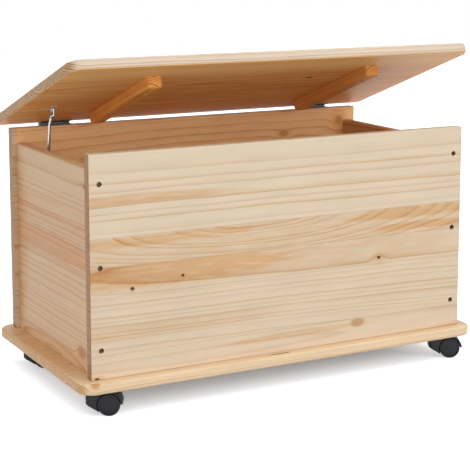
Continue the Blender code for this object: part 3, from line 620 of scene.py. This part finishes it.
def turnedShape(profile, steps=32):
    # a solid turned about Z from (radius, height) points
    bm = bmesh.new()
    points = [bm.verts.new((r, 0, z)) for r, z in profile]
    edges = [bm.edges.new(pair) for pair in zip(points, points[1:])]
    bmesh.ops.spin(bm, geom=points + edges, cent=(0, 0, 0), axis=(0, 0, 1), angle=2 * pi, steps=steps,
                   use_merge=True, use_duplicate=False)
    bmesh.ops.remove_doubles(bm, verts=bm.verts, dist=1e-6)
    bmesh.ops.recalc_face_normals(bm, faces=bm.faces)
    return bm


def plateShape(outline, thickness):
    # a flat outline in XY, thickened evenly about Z = 0
    bm = bmesh.new()
    face = bm.faces.new([bm.verts.new((x, y, -thickness / 2)) for x, y in outline])
    pushed = bmesh.ops.extrude_face_region(bm, geom=[face])["geom"]
    raised = [item for item in pushed if isinstance(item, bmesh.types.BMVert)]
    bmesh.ops.translate(bm, vec=(0, 0, thickness), verts=raised)
    bmesh.ops.recalc_face_normals(bm, faces=bm.faces)
    return bm


def arc(centre, radius, start, end, steps):
    # points on an arc, angles in degrees
    turns = [radians(start + (end - start) * i / steps) for i in range(steps + 1)]
    return [(centre[0] + radius * cos(t), centre[1] + radius * sin(t)) for t in turns]


def copied(bm, matrix=Matrix()):
    twin = bm.copy()
    bmesh.ops.transform(twin, matrix=matrix, verts=twin.verts)
    return twin


def merged(shapes):
    # several separate solids in one bmesh
    whole = bmesh.new()
    for shape in shapes:
        whole.from_mesh(meshOf(shape, "part"))
    return whole


def makePiece(name, bm, material, body, slotName, *stoodFor, sharp=35):
    mesh = meshOf(bm, name)
    mesh.materials.append(material)
    mesh.shade_smooth()
    mesh.set_sharp_from_angle(angle=radians(sharp))
    obj = bpy.data.objects.new(name, mesh)
    scene.collection.objects.link(obj)
    even = obj.modifiers.new("evenNormals", "WEIGHTED_NORMAL")
    even.weight, even.keep_sharp = 100, True
    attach(obj, body)
    if stoodFor:
        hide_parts(*stoodFor)
    return obj


def movedTo(bm, matrix):
    bmesh.ops.transform(bm, matrix=matrix, verts=bm.verts)
    return bm


def facingAlong(place, direction):
    # the place and turn of something whose own +Z points along the direction
    return Matrix.Translation(place) @ Vector(direction).to_track_quat("Z", "Y").to_matrix().to_4x4()


# Boards: planed stock with eased edges; base and lid have rounded corners and edges

boardShapes = {"baseCorner": 0.027, "lidRearCorner": 0.008, "edgeRound": 0.0045, "ease": 0.0015,
               "sideTopRound": 0.006, "endEase": 0.0008}
bore = {"radius": 0.0046, "mouth": 0.0003, "sink": 0.005, "flushSink": 0.002, "headDeep": 0.0035,
        "pastMouth": 0.002}


def boreShape(depth):
    # a cutter for a screw's counterbore, with a slightly broken rim; its mouth is at Z = 0 and it goes down
    r, lip = bore["radius"], bore["mouth"]
    out = bore["pastMouth"]
    return turnedShape([(0, out), (r + lip, out), (r + lip, 0), (r, -lip), (r, -depth), (0, -depth)], 28)


def drilled(bm, mouths, outwards, depth):
    cutter = merged([movedTo(boreShape(depth), facingAlong(mouth, outwards)) for mouth in mouths])
    return combine(bm, cutter)


def middleOf(node):
    low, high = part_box(node)
    return (low + high) / 2


def nodesLike(start):
    return sorted(name for name in frame["nodes"] if name.startswith(start))


def makePanel(name, side):
    low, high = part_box(f"{name}_panel")
    bm = roundEdges(boxShape(high - low, (low + high) / 2), isSharp, boardShapes["ease"], 4)
    face = high.y if side > 0 else low.y
    middles = [middleOf(node) for node in nodesLike(f"{name}_screw")]
    mouths = [Vector((middle.x, face, middle.z)) for middle in middles]
    bm = drilled(bm, mouths, (0, side, 0), bore["sink"] + bore["headDeep"])
    makePiece(f"{name}PanelBoard", bm, woods[f"{name}_panel"], "root", "pine", f"{name}_panel")


def makeSide(name):
    node = f"side_panel_{name}"
    low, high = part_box(node)
    bm = boxShape(high - low, (low + high) / 2)
    roundEdges(bm, lambda m, d, e: abs(d.y) > 0.9 and m.z > high.z - 1e-4, boardShapes["sideTopRound"], 6)
    roundEdges(bm, isSharp, boardShapes["endEase"], 2)
    makePiece(f"sidePanelBoard{name.title()}", bm, woods[node], "root", "pine", node)


def roundedBoard(low, high, frontCorner, rearCorner, keenRear=False):
    # a keen rear keeps its lower edge nearly square, as the lid's has to be over the hinges
    bm = boxShape(high - low, (low + high) / 2)
    roundEdges(bm, lambda m, d, e: isUpright(m, d, e) and m.y < low.y + 1e-4, frontCorner, 10)
    roundEdges(bm, lambda m, d, e: isUpright(m, d, e) and m.y > high.y - 1e-4 and isSharp(m, d, e),
               rearCorner, 10)
    if not keenRear:
        return roundEdges(bm, isSharp, boardShapes["edgeRound"], 6)

    def underRear(m):
        return m.z < low.z + 1e-4 and m.y > high.y - lid["rearSpan"]
    roundEdges(bm, lambda m, d, e: isSharp(m, d, e) and underRear(m), boardShapes["ease"], 3)
    return roundEdges(bm, lambda m, d, e: isSharp(m, d, e) and not underRear(m) and
                      (m.z > high.z - 1e-4 or m.z < low.z + 1e-4), boardShapes["edgeRound"], 6)


def makeBase():
    low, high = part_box("base_board")
    bm = roundedBoard(low, high, boardShapes["baseCorner"], boardShapes["baseCorner"])
    middles = [middleOf(node) for node in nodesLike("base_screw")]
    mouths = [Vector((middle.x, middle.y, low.z)) for middle in middles]
    bm = drilled(bm, mouths, (0, 0, -1), bore["flushSink"] + bore["headDeep"])
    makePiece("baseBoard", bm, woods["base_board"], "root", "pine", "base_board")


batten = {"x": 0.222, "wide": 0.027, "deep": 0.020, "rear": 0.055, "front": 0.338, "gap": 0.0003,
          "endRound": 0.008, "ease": 0.0055, "screwReach": {"rear": 0.095, "front": 0.295}}


def makeLid():
    half = lid["width"] / 2
    bm = roundedBoard(Vector((-half, -lid["reach"], lid["lift"])),
                      Vector((half, -lid["rearEdge"], lid["lift"] + lid["thick"])),
                      boardShapes["baseCorner"], boardShapes["lidRearCorner"], keenRear=True)
    makePiece("lidBoard", movedTo(bm, lidRest), woods["lid_panel"], "lid", "pine", "lid_panel")


def makeBatten(name, side):
    x, top = side * batten["x"], lid["lift"] - batten["gap"]
    long, foot = batten["front"] - batten["rear"], top - batten["deep"]
    bm = boxShape((batten["wide"], long, batten["deep"]), (x, -(batten["front"] + batten["rear"]) / 2,
                                                           top - batten["deep"] / 2))
    roundEdges(bm, lambda m, d, e: abs(d.x) > 0.9 and m.z < foot + 1e-4, batten["endRound"], 8)
    roundEdges(bm, lambda m, d, e: isSharp(m, d, e) and m.z < top - 1e-4, batten["ease"], 4)
    mouths = [(x, -reach, foot) for reach in batten["screwReach"].values()]
    bm = drilled(bm, mouths, (0, 0, -1), bore["flushSink"] + bore["headDeep"])
    node = f"lid_batten_{name}"
    makePiece(f"lidBatten{name.title()}", movedTo(bm, lidRest), woods[node], "lid", "batten_pine", node)


makePanel("front", -1)
makePanel("back", 1)
makeSide("left")
makeSide("right")
makeBase()
makeLid()
makeBatten("left", -1)
makeBatten("right", 1)
print("boards made")


# Metal and plastic finishes

metalFinish = {"zinc": "#C3C4C2", "dullZinc": "#6A5A4B", "hinge": "#8A7F74",
               "scratchLong": 0.006, "scratchAcross": 0.0004, "cloudScale": 220.0}
plasticFinish = {"hood": "#141111", "wheel": "#141116", "specular": 0.34, "spark": 0.0007}


def zincPlate(name, colour, roughness):
    # bright zinc plate over drawn steel: a soft metal mirror with fine drawing lines and cloudy patches
    mat, tree, shader = newMaterial(name)
    shader.inputs["Metallic"].default_value = 1.0
    place = addNode(tree, "TexCoord")
    cloud = addNode(tree, "TexNoise", {"Vector": place.outputs["Object"],
                                       "Scale": metalFinish["cloudScale"], "Detail": 3.0})
    tone = addNode(tree, "MapRange", {0: cloud, 1: 0.3, 2: 0.7, 3: 0.82, 4: 1.0})
    shade = addNode(tree, "VectorMath", {0: linear(colour)[:3], "Scale": tone}, operation="SCALE")
    tree.links.new(shade.outputs[0], shader.inputs["Base Color"])
    long, thin = metalFinish["scratchLong"], metalFinish["scratchAcross"]
    drawn = addNode(tree, "Mapping", {"Vector": place.outputs["Object"],
                                      "Scale": (1 / thin, 1 / long, 1 / long)})
    lines = addNode(tree, "TexNoise", {"Vector": drawn, "Scale": 1.0, "Detail": 2.0})
    rough = addNode(tree, "MapRange", {0: lines, 1: 0.3, 2: 0.7, 3: roughness - 0.07,
                                       4: roughness + 0.10})
    tree.links.new(rough.outputs[0], shader.inputs["Roughness"])
    bump = addNode(tree, "Bump", {"Height": lines, "Strength": 0.25, "Distance": 0.00005})
    tree.links.new(bump.outputs[0], shader.inputs["Normal"])
    return mat


def mouldedPlastic(name, colour, roughness):
    # black polypropylene from a spark-eroded mould: a fine even grain that breaks the highlight up
    mat, tree, shader = newMaterial(name)
    shader.inputs["Specular IOR Level"].default_value = plasticFinish["specular"]
    shader.inputs["IOR"].default_value = 1.49
    place = addNode(tree, "TexCoord")
    grit = addNode(tree, "TexNoise", {"Vector": place.outputs["Object"],
                                      "Scale": 1 / plasticFinish["spark"], "Detail": 2.0})
    worn = addNode(tree, "TexNoise", {"Vector": place.outputs["Object"], "Scale": 90.0, "Detail": 2.0})
    tone = addNode(tree, "MapRange", {0: worn, 1: 0.3, 2: 0.7, 3: 0.88, 4: 1.12})
    shade = addNode(tree, "VectorMath", {0: linear(colour)[:3], "Scale": tone}, operation="SCALE")
    tree.links.new(shade.outputs[0], shader.inputs["Base Color"])
    rough = addNode(tree, "MapRange", {0: worn, 3: roughness - 0.06, 4: roughness + 0.06})
    tree.links.new(rough.outputs[0], shader.inputs["Roughness"])
    bump = addNode(tree, "Bump", {"Height": grit, "Strength": 0.35, "Distance": 0.00008})
    tree.links.new(bump.outputs[0], shader.inputs["Normal"])
    return mat


zinc = zincPlate("zincPlatedSteel", metalFinish["zinc"], 0.30)
# painted shade: the screw zinc is a dark brown that stands in for the shade inside the counterbores the
# chest screws sit in; the hinge, stay and caster screws share this darkened zinc
dullZinc = zincPlate("dullZincScrew", metalFinish["dullZinc"], 0.42)
hingeSteel = zincPlate("brownedHingeSteel", metalFinish["hinge"], 0.46)
hoodPlastic = mouldedPlastic("blackHoodPlastic", plasticFinish["hood"], 0.48)
wheelPlastic = mouldedPlastic("blackWheelPlastic", plasticFinish["wheel"], 0.55)


# Wood screws: a flat head with a cross recess at the bottom of each counterbore

screwKinds = {
    "chest": {"head": 0.0041, "deep": 0.0030, "shank": 0.0019, "length": 0.0368, "recess": 0.0024},
    "small": {"head": 0.0031, "deep": 0.0016, "shank": 0.0015, "length": 0.0060, "recess": 0.0016},
}


def screwShape(kind):
    # points down -Z, the top of its head at Z = 0
    k = screwKinds[kind]
    bm = turnedShape([(0, 0), (k["head"] - 0.0003, 0), (k["head"], -0.0003), (k["head"], -0.0008),
                      (k["shank"], -k["deep"]), (k["shank"], -k["length"] + 0.004), (0, -k["length"])], 20)
    for turn in (0, pi / 2):
        slot = boxShape((k["recess"] * 2, k["recess"] * 0.42, k["deep"]))
        bmesh.ops.transform(slot, matrix=Matrix.Diagonal((0.45, 0.8, 1, 1)),
                            verts=[v for v in slot.verts if v.co.z < 0])
        movedTo(slot, Matrix.Rotation(turn + 0.35, 4, "Z") @ Matrix.Translation((0, 0, -k["deep"] * 0.12)))
        bm = combine(bm, slot)
    return bm


chestScrew, smallScrew = screwShape("chest"), screwShape("small")
battenScrewShare = 0.78    # of a chest screw's length
screwTurn = 1.1            # radians from one screw's recess to the next


def camelName(node):
    first, *rest = node.split("_")
    return first + "".join(word.title() for word in rest)


def makeChestScrews():
    sink = lid["lift"] - batten["gap"] - batten["deep"] + bore["flushSink"]
    ways = {"front": (0, -1, 0), "back": (0, 1, 0), "base": (0, 0, -1), "batten": lidVector(0, 0, -1)}
    for name, way in ways.items():
        inLid, outward = name == "batten", Vector(way)
        shorter = Matrix.Diagonal((1, 1, battenScrewShare if inLid else 1, 1))
        for count, node in enumerate(nodesLike(f"{name}_screw")):
            low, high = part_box(node)
            head = (low + high) / 2 + outward * max(high - low) / 2
            if inLid:
                head = lidRest @ Vector((head.x, -batten["screwReach"][node.split("_")[-1]], sink))
            spun = facingAlong(head, outward) @ Matrix.Rotation(count * screwTurn, 4, "Z")
            makePiece(camelName(node) + "Driven", copied(chestScrew, spun @ shorter), dullZinc,
                      "lid" if inLid else "root", "screw_steel", node)


makeChestScrews()
print("screws driven")


# Butt hinges: pressed leaves rolled round a pin, each held by three small screws

hingeForm = {"x": 0.285, "length": 0.060, "reach": 0.020, "leaf": 0.0012, "space": 0.0003,
             "knuckle": 0.0026, "pin": 0.0011, "split": 0.012, "gap": 0.0003,
             "holeReach": 0.0125, "holesX": (-0.020, 0, 0.020), "rear": 0.0036, "tab": 0.0005,
             "pinHead": 0.0009, "screwTurn": 60}
sinkCone = (0.0045, 24, 0.0008)    # radius outside, sides and radius inside of a hole for a small screw
alongX = Matrix.Rotation(pi / 2, 4, "Y")


def leafShape(up, spans):
    h = hingeForm
    z = up * (h["space"] + h["leaf"] / 2)
    bm = boxShape((h["length"], h["reach"] - h["rear"], h["leaf"]), (0, -(h["reach"] + h["rear"]) / 2, z))
    roundEdges(bm, lambda m, d, e: abs(d.z) > 0.9 and m.y < -h["reach"] + 1e-4, 0.002, 5)
    for a, b in spans:
        reach = h["rear"] + h["tab"]
        tab = boxShape((b - a, reach, h["leaf"]), ((a + b) / 2, -reach / 2, z))
        bm = combine(bm, tab, "UNION")
        bm = combine(bm, rodShape((a, 0, 0), (b, 0, 0), h["knuckle"], 28), "UNION")
    bm = combine(bm, rodShape((-0.04, 0, 0), (0.04, 0, 0), h["pin"] + h["gap"], 20))
    outer, inner = z - up * h["leaf"], z + up * h["leaf"]
    cones = merged([rodShape((x, -h["holeReach"], outer), (x, -h["holeReach"], inner), *sinkCone)
                    for x in h["holesX"]])
    return combine(bm, cones)


def makeHinges():
    h = hingeForm
    half, split, gap = h["length"] / 2, h["split"], h["gap"]
    fixed = leafShape(-1, [(-half, -split - gap), (split + gap, half)])
    moving = leafShape(1, [(-split + gap, split - gap)])
    head, end = h["pin"] + h["pinHead"], half + gap
    upper = [(0, end + 0.0010), (head - 0.0004, end + 0.0010), (head, end + 0.0006), (head, end),
             (h["pin"], end)]
    pin = turnedShape(upper + [(r, -z) for r, z in reversed(upper)], 20)
    for side, name in ((-1, "left"), (1, "right")):
        title, offset = name.title(), Matrix.Translation((side * h["x"], 0, 0))
        atRoot, atLid = Matrix.Translation(hingeAxis) @ offset, lidRest @ offset
        makePiece(f"hingeFixedLeaf{title}", copied(fixed, atRoot), hingeSteel, "root", "zinc_steel",
                  f"hinge_fixed_leaf_{name}")
        makePiece(f"hingeMovingLeaf{title}", copied(moving, atLid), hingeSteel, "lid", "zinc_steel",
                  f"hinge_moving_leaf_{name}")
        makePiece(f"hingePin{title}", copied(pin, atRoot @ alongX), hingeSteel, "root", "zinc_steel",
                  f"hinge_pin_{name}")
        # heads face the other leaf, and the closed lid leaves no room above them, so they sit in the cones
        face = h["space"] + 0.0002
        for up, body, at in ((-1, "root", atRoot), (1, "lid", atLid)):
            screws = [copied(smallScrew, at @ facingAlong((x, -h["holeReach"], up * face), (0, 0, -up)) @
                             Matrix.Rotation(x * h["screwTurn"], 4, "Z")) for x in h["holesX"]]
            kind = "FixedLeaf" if up < 0 else "MovingLeaf"
            makePiece(f"hinge{kind}Screws{title}", merged(screws), dullZinc, body, "screw_steel")


makeHinges()
print("hinges made")


# The lid stay: bracket and rivet under the lid, a bent rod, and the guide it slides through

stay = {"pinReach": 0.120, "pinDrop": 0.0105, "pinX": joints["stay_pin"]["pos_m"][0],
        "rodX": joints["stay_guide_swivel"]["pos_m"][0], "rod": 0.0025, "length": 0.206, "joggle": 0.014,
        "stop": 0.0045, "stopLong": 0.006, "eye": 0.0048, "eyeThick": 0.0030, "rivet": 0.0020,
        "lug": 0.0015, "plateWide": 0.013, "plateLong": 0.041, "plateThick": 0.0012, "gap": 0.0003,
        "screwsAlong": (-0.0195, 0.0125), "guide": (0.013, 0.013, 0.018), "boss": 0.0052,
        "studPin": 0.0025, "flange": 0.002, "flangeRadius": 0.0090, "studShank": 0.0018, "studDeep": 0.010}


def makeBracket():
    s = stay
    top = lid["lift"] - s["gap"]
    lugX = s["pinX"] + s["eyeThick"] / 2 + s["gap"] + s["lug"] / 2
    bm = boxShape((s["plateWide"], s["plateLong"], s["plateThick"]),
                  (lugX, -s["pinReach"] - 0.004, top - s["plateThick"] / 2))
    roundEdges(bm, isUpright, 0.004, 6)
    drop = s["pinDrop"] + top - s["plateThick"] / 2
    lug = plateShape([(-0.008, drop), *arc((0, 0), s["eye"], 180, 360, 16), (0.008, drop)], s["lug"])
    axis = Matrix.Translation((0, -s["pinReach"], -s["pinDrop"]))
    upright = Matrix(((0, 0, 1, lugX), (1, 0, 0, 0), (0, 1, 0, 0), (0, 0, 0, 1)))
    bm = combine(bm, movedTo(lug, axis @ upright), "UNION")
    hole = rodShape((lugX - 0.01, 0, 0), (lugX + 0.01, 0, 0), s["rivet"] + s["gap"], 24)
    bm = combine(bm, movedTo(hole, axis))
    holesY = [-s["pinReach"] + along for along in s["screwsAlong"]]
    low = top - s["plateThick"]
    cones = merged([rodShape((lugX, y, low - s["plateThick"]), (lugX, y, top + s["plateThick"]), *sinkCone)
                    for y in holesY])
    makePiece("stayBracketPlate", movedTo(combine(bm, cones), lidRest), zinc, "lid", "zinc_steel",
              "stay_bracket")
    screws = [copied(smallScrew, lidRest @ facingAlong((lugX, y, low + 0.0001), (0, 0, -1)))
              for y in holesY]
    makePiece("stayBracketScrews", merged(screws), dullZinc, "lid", "screw_steel")
    left, right = s["pinX"] - s["eyeThick"] / 2 - s["gap"], lugX + s["lug"] / 2 + s["gap"]
    head, r = s["rivet"] + 0.0010, s["rivet"]
    rivet = turnedShape([
        (0, right + 0.0012), (head * 0.6, right + 0.0010), (head, right + 0.0003), (head, right),
        (r, right), (r, left),
        (head, left), (head, left - 0.0003), (head * 0.6, left - 0.0010), (0, left - 0.0012)], 24)
    makePiece("stayRivetHead", movedTo(rivet, lidRest @ axis @ alongX), zinc, "lid", "zinc_steel",
              "stay_rivet")


def makeRod():
    # hangs down -Z from its eye, bent to clear the lug, then straight to a stop at its foot
    s = stay
    shift = s["rodX"] - s["pinX"]
    curve = bpy.data.curves.new("stayWire", "CURVE")
    curve.dimensions, curve.resolution_u = "3D", 8
    curve.bevel_depth, curve.bevel_resolution, curve.use_fill_caps = s["rod"], 6, True
    spline = curve.splines.new("BEZIER")
    # sideways, upwards, and the reach of the handles
    route = [(shift * 0.4, -0.0035, 0.002), (shift * 0.4, -0.0070, 0.002),
             (shift, -s["joggle"] * 1.2, 0.004), (shift, -s["length"] + s["stopLong"] / 2, 0.004)]
    spline.bezier_points.add(len(route) - 1)
    for point, (x, z, reach) in zip(spline.bezier_points, route):
        point.co = (x, 0, z)
        point.handle_left, point.handle_right = (x, 0, z + reach), (x, 0, z - reach)
    holder = bpy.data.objects.new("stayWire", curve)
    scene.collection.objects.link(holder)
    bpy.context.view_layer.update()
    made = bpy.data.meshes.new_from_object(holder.evaluated_get(bpy.context.evaluated_depsgraph_get()))
    bpy.data.objects.remove(holder)
    bm = bmesh.new()
    bm.from_mesh(made)
    bmesh.ops.remove_doubles(bm, verts=bm.verts, dist=1e-6)
    bmesh.ops.recalc_face_normals(bm, faces=bm.faces)
    half = s["eyeThick"] / 2
    eye = roundEdges(rodShape((-half, 0, 0), (half, 0, 0), s["eye"], 32), isSharp, 0.0005, 3)
    bm = combine(bm, eye, "UNION")
    foot = -s["length"]
    stop = rodShape((shift, 0, foot), (shift, 0, foot + s["stopLong"]), s["stop"], 28)
    bm = combine(bm, roundEdges(stop, isSharp, 0.0006, 3), "UNION")
    bm = combine(bm, rodShape((-0.01, 0, 0), (0.01, 0, 0), s["rivet"] + s["gap"], 24))
    pin, swivel = Vector(joints["stay_pin"]["pos_m"]), Vector(joints["stay_guide_swivel"]["pos_m"])
    down = Vector((0, *(swivel - pin).yz))
    lean = Vector((0, -1)).angle_signed(Vector(down.yz))
    turn = Matrix.Rotation(-lean, 4, "X")
    makePiece("stayRodWire", movedTo(bm, Matrix.Translation(pin) @ turn), zinc, "stay_rod", "zinc_steel",
              "stay_rod")
    makeGuide(Matrix.Translation(swivel) @ turn)


def makeGuide(place):
    s = stay
    wide = s["guide"][0]
    bm = boxShape(s["guide"])
    roundEdges(bm, lambda m, d, e: abs(d.x) > 0.9, 0.003, 6)
    roundEdges(bm, isSharp, 0.0006, 3)
    studLow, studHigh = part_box("stay_guide_stud")
    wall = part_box("side_panel_left")[1].x
    back = wall + 2 * s["gap"] + s["flange"] - s["rodX"]
    bm = combine(bm, rodShape((back, 0, 0), (-wide / 2 + 0.001, 0, 0), s["boss"], 32), "UNION")
    bm = combine(bm, rodShape((0, 0, -0.02), (0, 0, 0.02), s["rod"] + s["gap"], 28))
    end = studHigh.x - s["rodX"] + s["gap"]
    bm = combine(bm, rodShape((back - 0.001, 0, 0), (end, 0, 0), s["studPin"] + s["gap"], 28))
    makePiece("stayGuideBlock", movedTo(bm, place), zinc, "stay_guide", "zinc_steel", "stay_guide")
    face = wall + s["gap"]
    r, rim, top = s["studPin"], s["flangeRadius"], face + s["flange"]
    stud = turnedShape([
        (0, studHigh.x), (r - 0.0004, studHigh.x), (r, studHigh.x - 0.0004), (r, top), (rim - 0.0010, top),
        (rim - 0.0002, top - 0.0005), (rim, top - 0.0012), (rim, face), (s["studShank"], face),
        (s["studShank"], face - s["studDeep"]), (0, studLow.x)], 36)
    swivel = Vector(joints["stay_guide_swivel"]["pos_m"])
    at = Matrix.Translation((0, swivel.y, swivel.z)) @ alongX
    makePiece("stayGuideStud", movedTo(stud, at), zinc, "root", "zinc_steel", "stay_guide_stud")


makeBracket()
makeRod()
print("lid stay made")


# Twin-wheel casters: plate and stem fixed to the base, a moulded hood that swivels, two discs on an axle

caster = {"wheel": 0.0195, "inner": 0.0033, "outer": 0.0163, "trail": 0.0245, "axle": 0.0025,
          "axleHalf": 0.0122, "hoodHalf": 0.0155, "web": 0.0028, "hood": 0.0237, "pocket": 0.0207,
          "nose": -0.015, "noseLow": 0.0205, "low": 0.0070, "heelZ": 0.0125, "noseRound": 0.007,
          "plateHalf": 0.019, "plateThick": 0.0017, "race": 0.0115, "screwInset": 0.0045,
          "screwHole": 0.0021, "stem": 0.0040, "stemLong": 0.0125, "height": 0.048, "gap": 0.0003}


def hoodShape():
    # in the caster's own frame: the stem at the origin, +X the way the wheels trail
    c = caster
    hub, top = (c["trail"], c["wheel"]), c["wheel"] + c["hood"]
    outline = [(c["nose"], c["noseLow"]), (c["nose"], top - 0.004)]
    outline += arc((c["nose"] + 0.004, top - 0.004), 0.004, 180, 90, 5)
    outline += arc(hub, c["hood"], 90, 2, 24)
    outline += [(hub[0] + c["pocket"] - 0.001, hub[1] + 0.0008), (hub[0] + 0.7 * c["pocket"], c["heelZ"]),
                (hub[0] + 0.4 * c["pocket"], c["low"]), (hub[0] - 0.8 * c["pocket"], c["low"])]
    bm = movedTo(plateShape(outline, 2 * c["hoodHalf"]),
                 Matrix(((1, 0, 0, 0), (0, 0, 1, 0), (0, 1, 0, 0), (0, 0, 0, 1))))
    bmesh.ops.recalc_face_normals(bm, faces=bm.faces)
    roundEdges(bm, lambda m, d, e: isUpright(m, d, e) and m.x < c["nose"] + 1e-4, c["noseRound"], 7)
    roundEdges(bm, isSharp, 0.0006, 2)
    out = c["hoodHalf"] + 0.002
    for start, end, radius, sides in [(-c["web"], -out, c["pocket"], 64), (c["web"], out, c["pocket"], 64),
                                      (-0.02, 0.02, c["axle"] + c["gap"], 24)]:
        bm = combine(bm, rodShape((hub[0], start, hub[1]), (hub[0], end, hub[1]), radius, sides))
    foot = c["height"] - c["stemLong"] - 0.002
    return combine(bm, rodShape((0, 0, top + 0.001), (0, 0, foot), c["stem"] + c["gap"], 32))


def wheelShape():
    # a disc turned about Z, its outer face upwards: a slightly domed face inside a raised rim
    c = caster
    r, high, low = c["wheel"], c["outer"], c["inner"]
    hole, pit = c["axle"] + c["gap"], c["axleHalf"] + c["gap"]
    dome = [(0, high - 0.0004), (0.006, high - 0.0005), (0.012, high - 0.0009), (r - 0.0042, high - 0.0014)]
    rim = [(r - 0.0038, high - 0.0004), (r - 0.0030, high), (r - 0.0018, high - 0.0001),
           (r - 0.0007, high - 0.0006), (r - 0.0001, high - 0.0018), (r, high - 0.0030)]
    back = [(r, low + 0.0018), (r - 0.0004, low + 0.0006), (r - 0.0014, low), (hole + 0.004, low)]
    return turnedShape(dome + rim + back + [(hole, low), (hole, pit), (0, pit)], 64)


def casterPlateShape():
    # a pressed plate with a ball race round the stem
    c = caster
    high = c["height"] - c["gap"]
    low = high - c["plateThick"]
    bm = boxShape((2 * c["plateHalf"], 2 * c["plateHalf"], c["plateThick"]), (0, 0, (high + low) / 2))
    roundEdges(bm, isUpright, 0.004, 6)
    r, foot = c["race"], c["height"] - c["stemLong"]
    race = turnedShape([(0, low + 0.0005), (r, low + 0.0005), (r, low - 0.0010), (r - 0.0010, low - 0.0018),
                        (c["stem"] + 0.001, low - 0.0018), (c["stem"], low - 0.0022),
                        (c["stem"], foot), (0, foot)], 40)
    bm = combine(bm, race, "UNION")
    at = c["plateHalf"] - c["screwInset"]
    spots = [(x, y) for x in (-at, at) for y in (-at, at)]
    holes = merged([rodShape((x, y, low - 0.001), (x, y, high + 0.001), c["screwHole"], 20)
                    for x, y in spots])
    screws = merged([copied(smallScrew, facingAlong((x, y, low - 0.0006), (0, 0, -1)) @
                            Matrix.Rotation(x * 90, 4, "Z")) for x, y in spots])
    return combine(bm, holes), screws


def makeCasters():
    hood, wheel = hoodShape(), wheelShape()
    plate, plateScrews = casterPlateShape()
    for node in nodesLike("caster_"):
        if not node.endswith("_plate"):
            continue
        start = node[:-len("_plate")]
        name = camelName(start)
        stem = Vector(joints[start + "_swivel"]["pos_m"])
        spin = joints[start + "_wheel_a_spin"]
        hub = Vector(spin["pos_m"])
        ground = Matrix.Translation((stem.x, stem.y, 0))
        trail = hub - stem
        swivel = ground @ Matrix.Rotation(-Vector((1, 0)).angle_signed(trail.xy), 4, "Z")
        makePiece(name + "PlateRace", copied(plate, ground), hoodPlastic, "root", "caster_body", node)
        makePiece(name + "PlateScrews", copied(plateScrews, ground), dullZinc, "root", "screw_steel")
        makePiece(name + "HoodShell", copied(hood, swivel), hoodPlastic, start, "caster_body",
                  start + "_hood")
        axis = Vector(spin["axis"])
        for letter in "ab":
            disc = f"{start}_wheel_{letter}"
            side = 1 if (middleOf(disc) - hub).dot(axis) > 0 else -1
            at = facingAlong(hub, axis * side)
            makePiece(f"{name}Wheel{letter.upper()}", copied(wheel, at), wheelPlastic, disc,
                      "caster_wheel", disc)
        axle = frame["nodes"][start + "_axle"]
        axle.data.materials.clear()
        axle.data.materials.append(zinc)


makeCasters()
print("casters made")
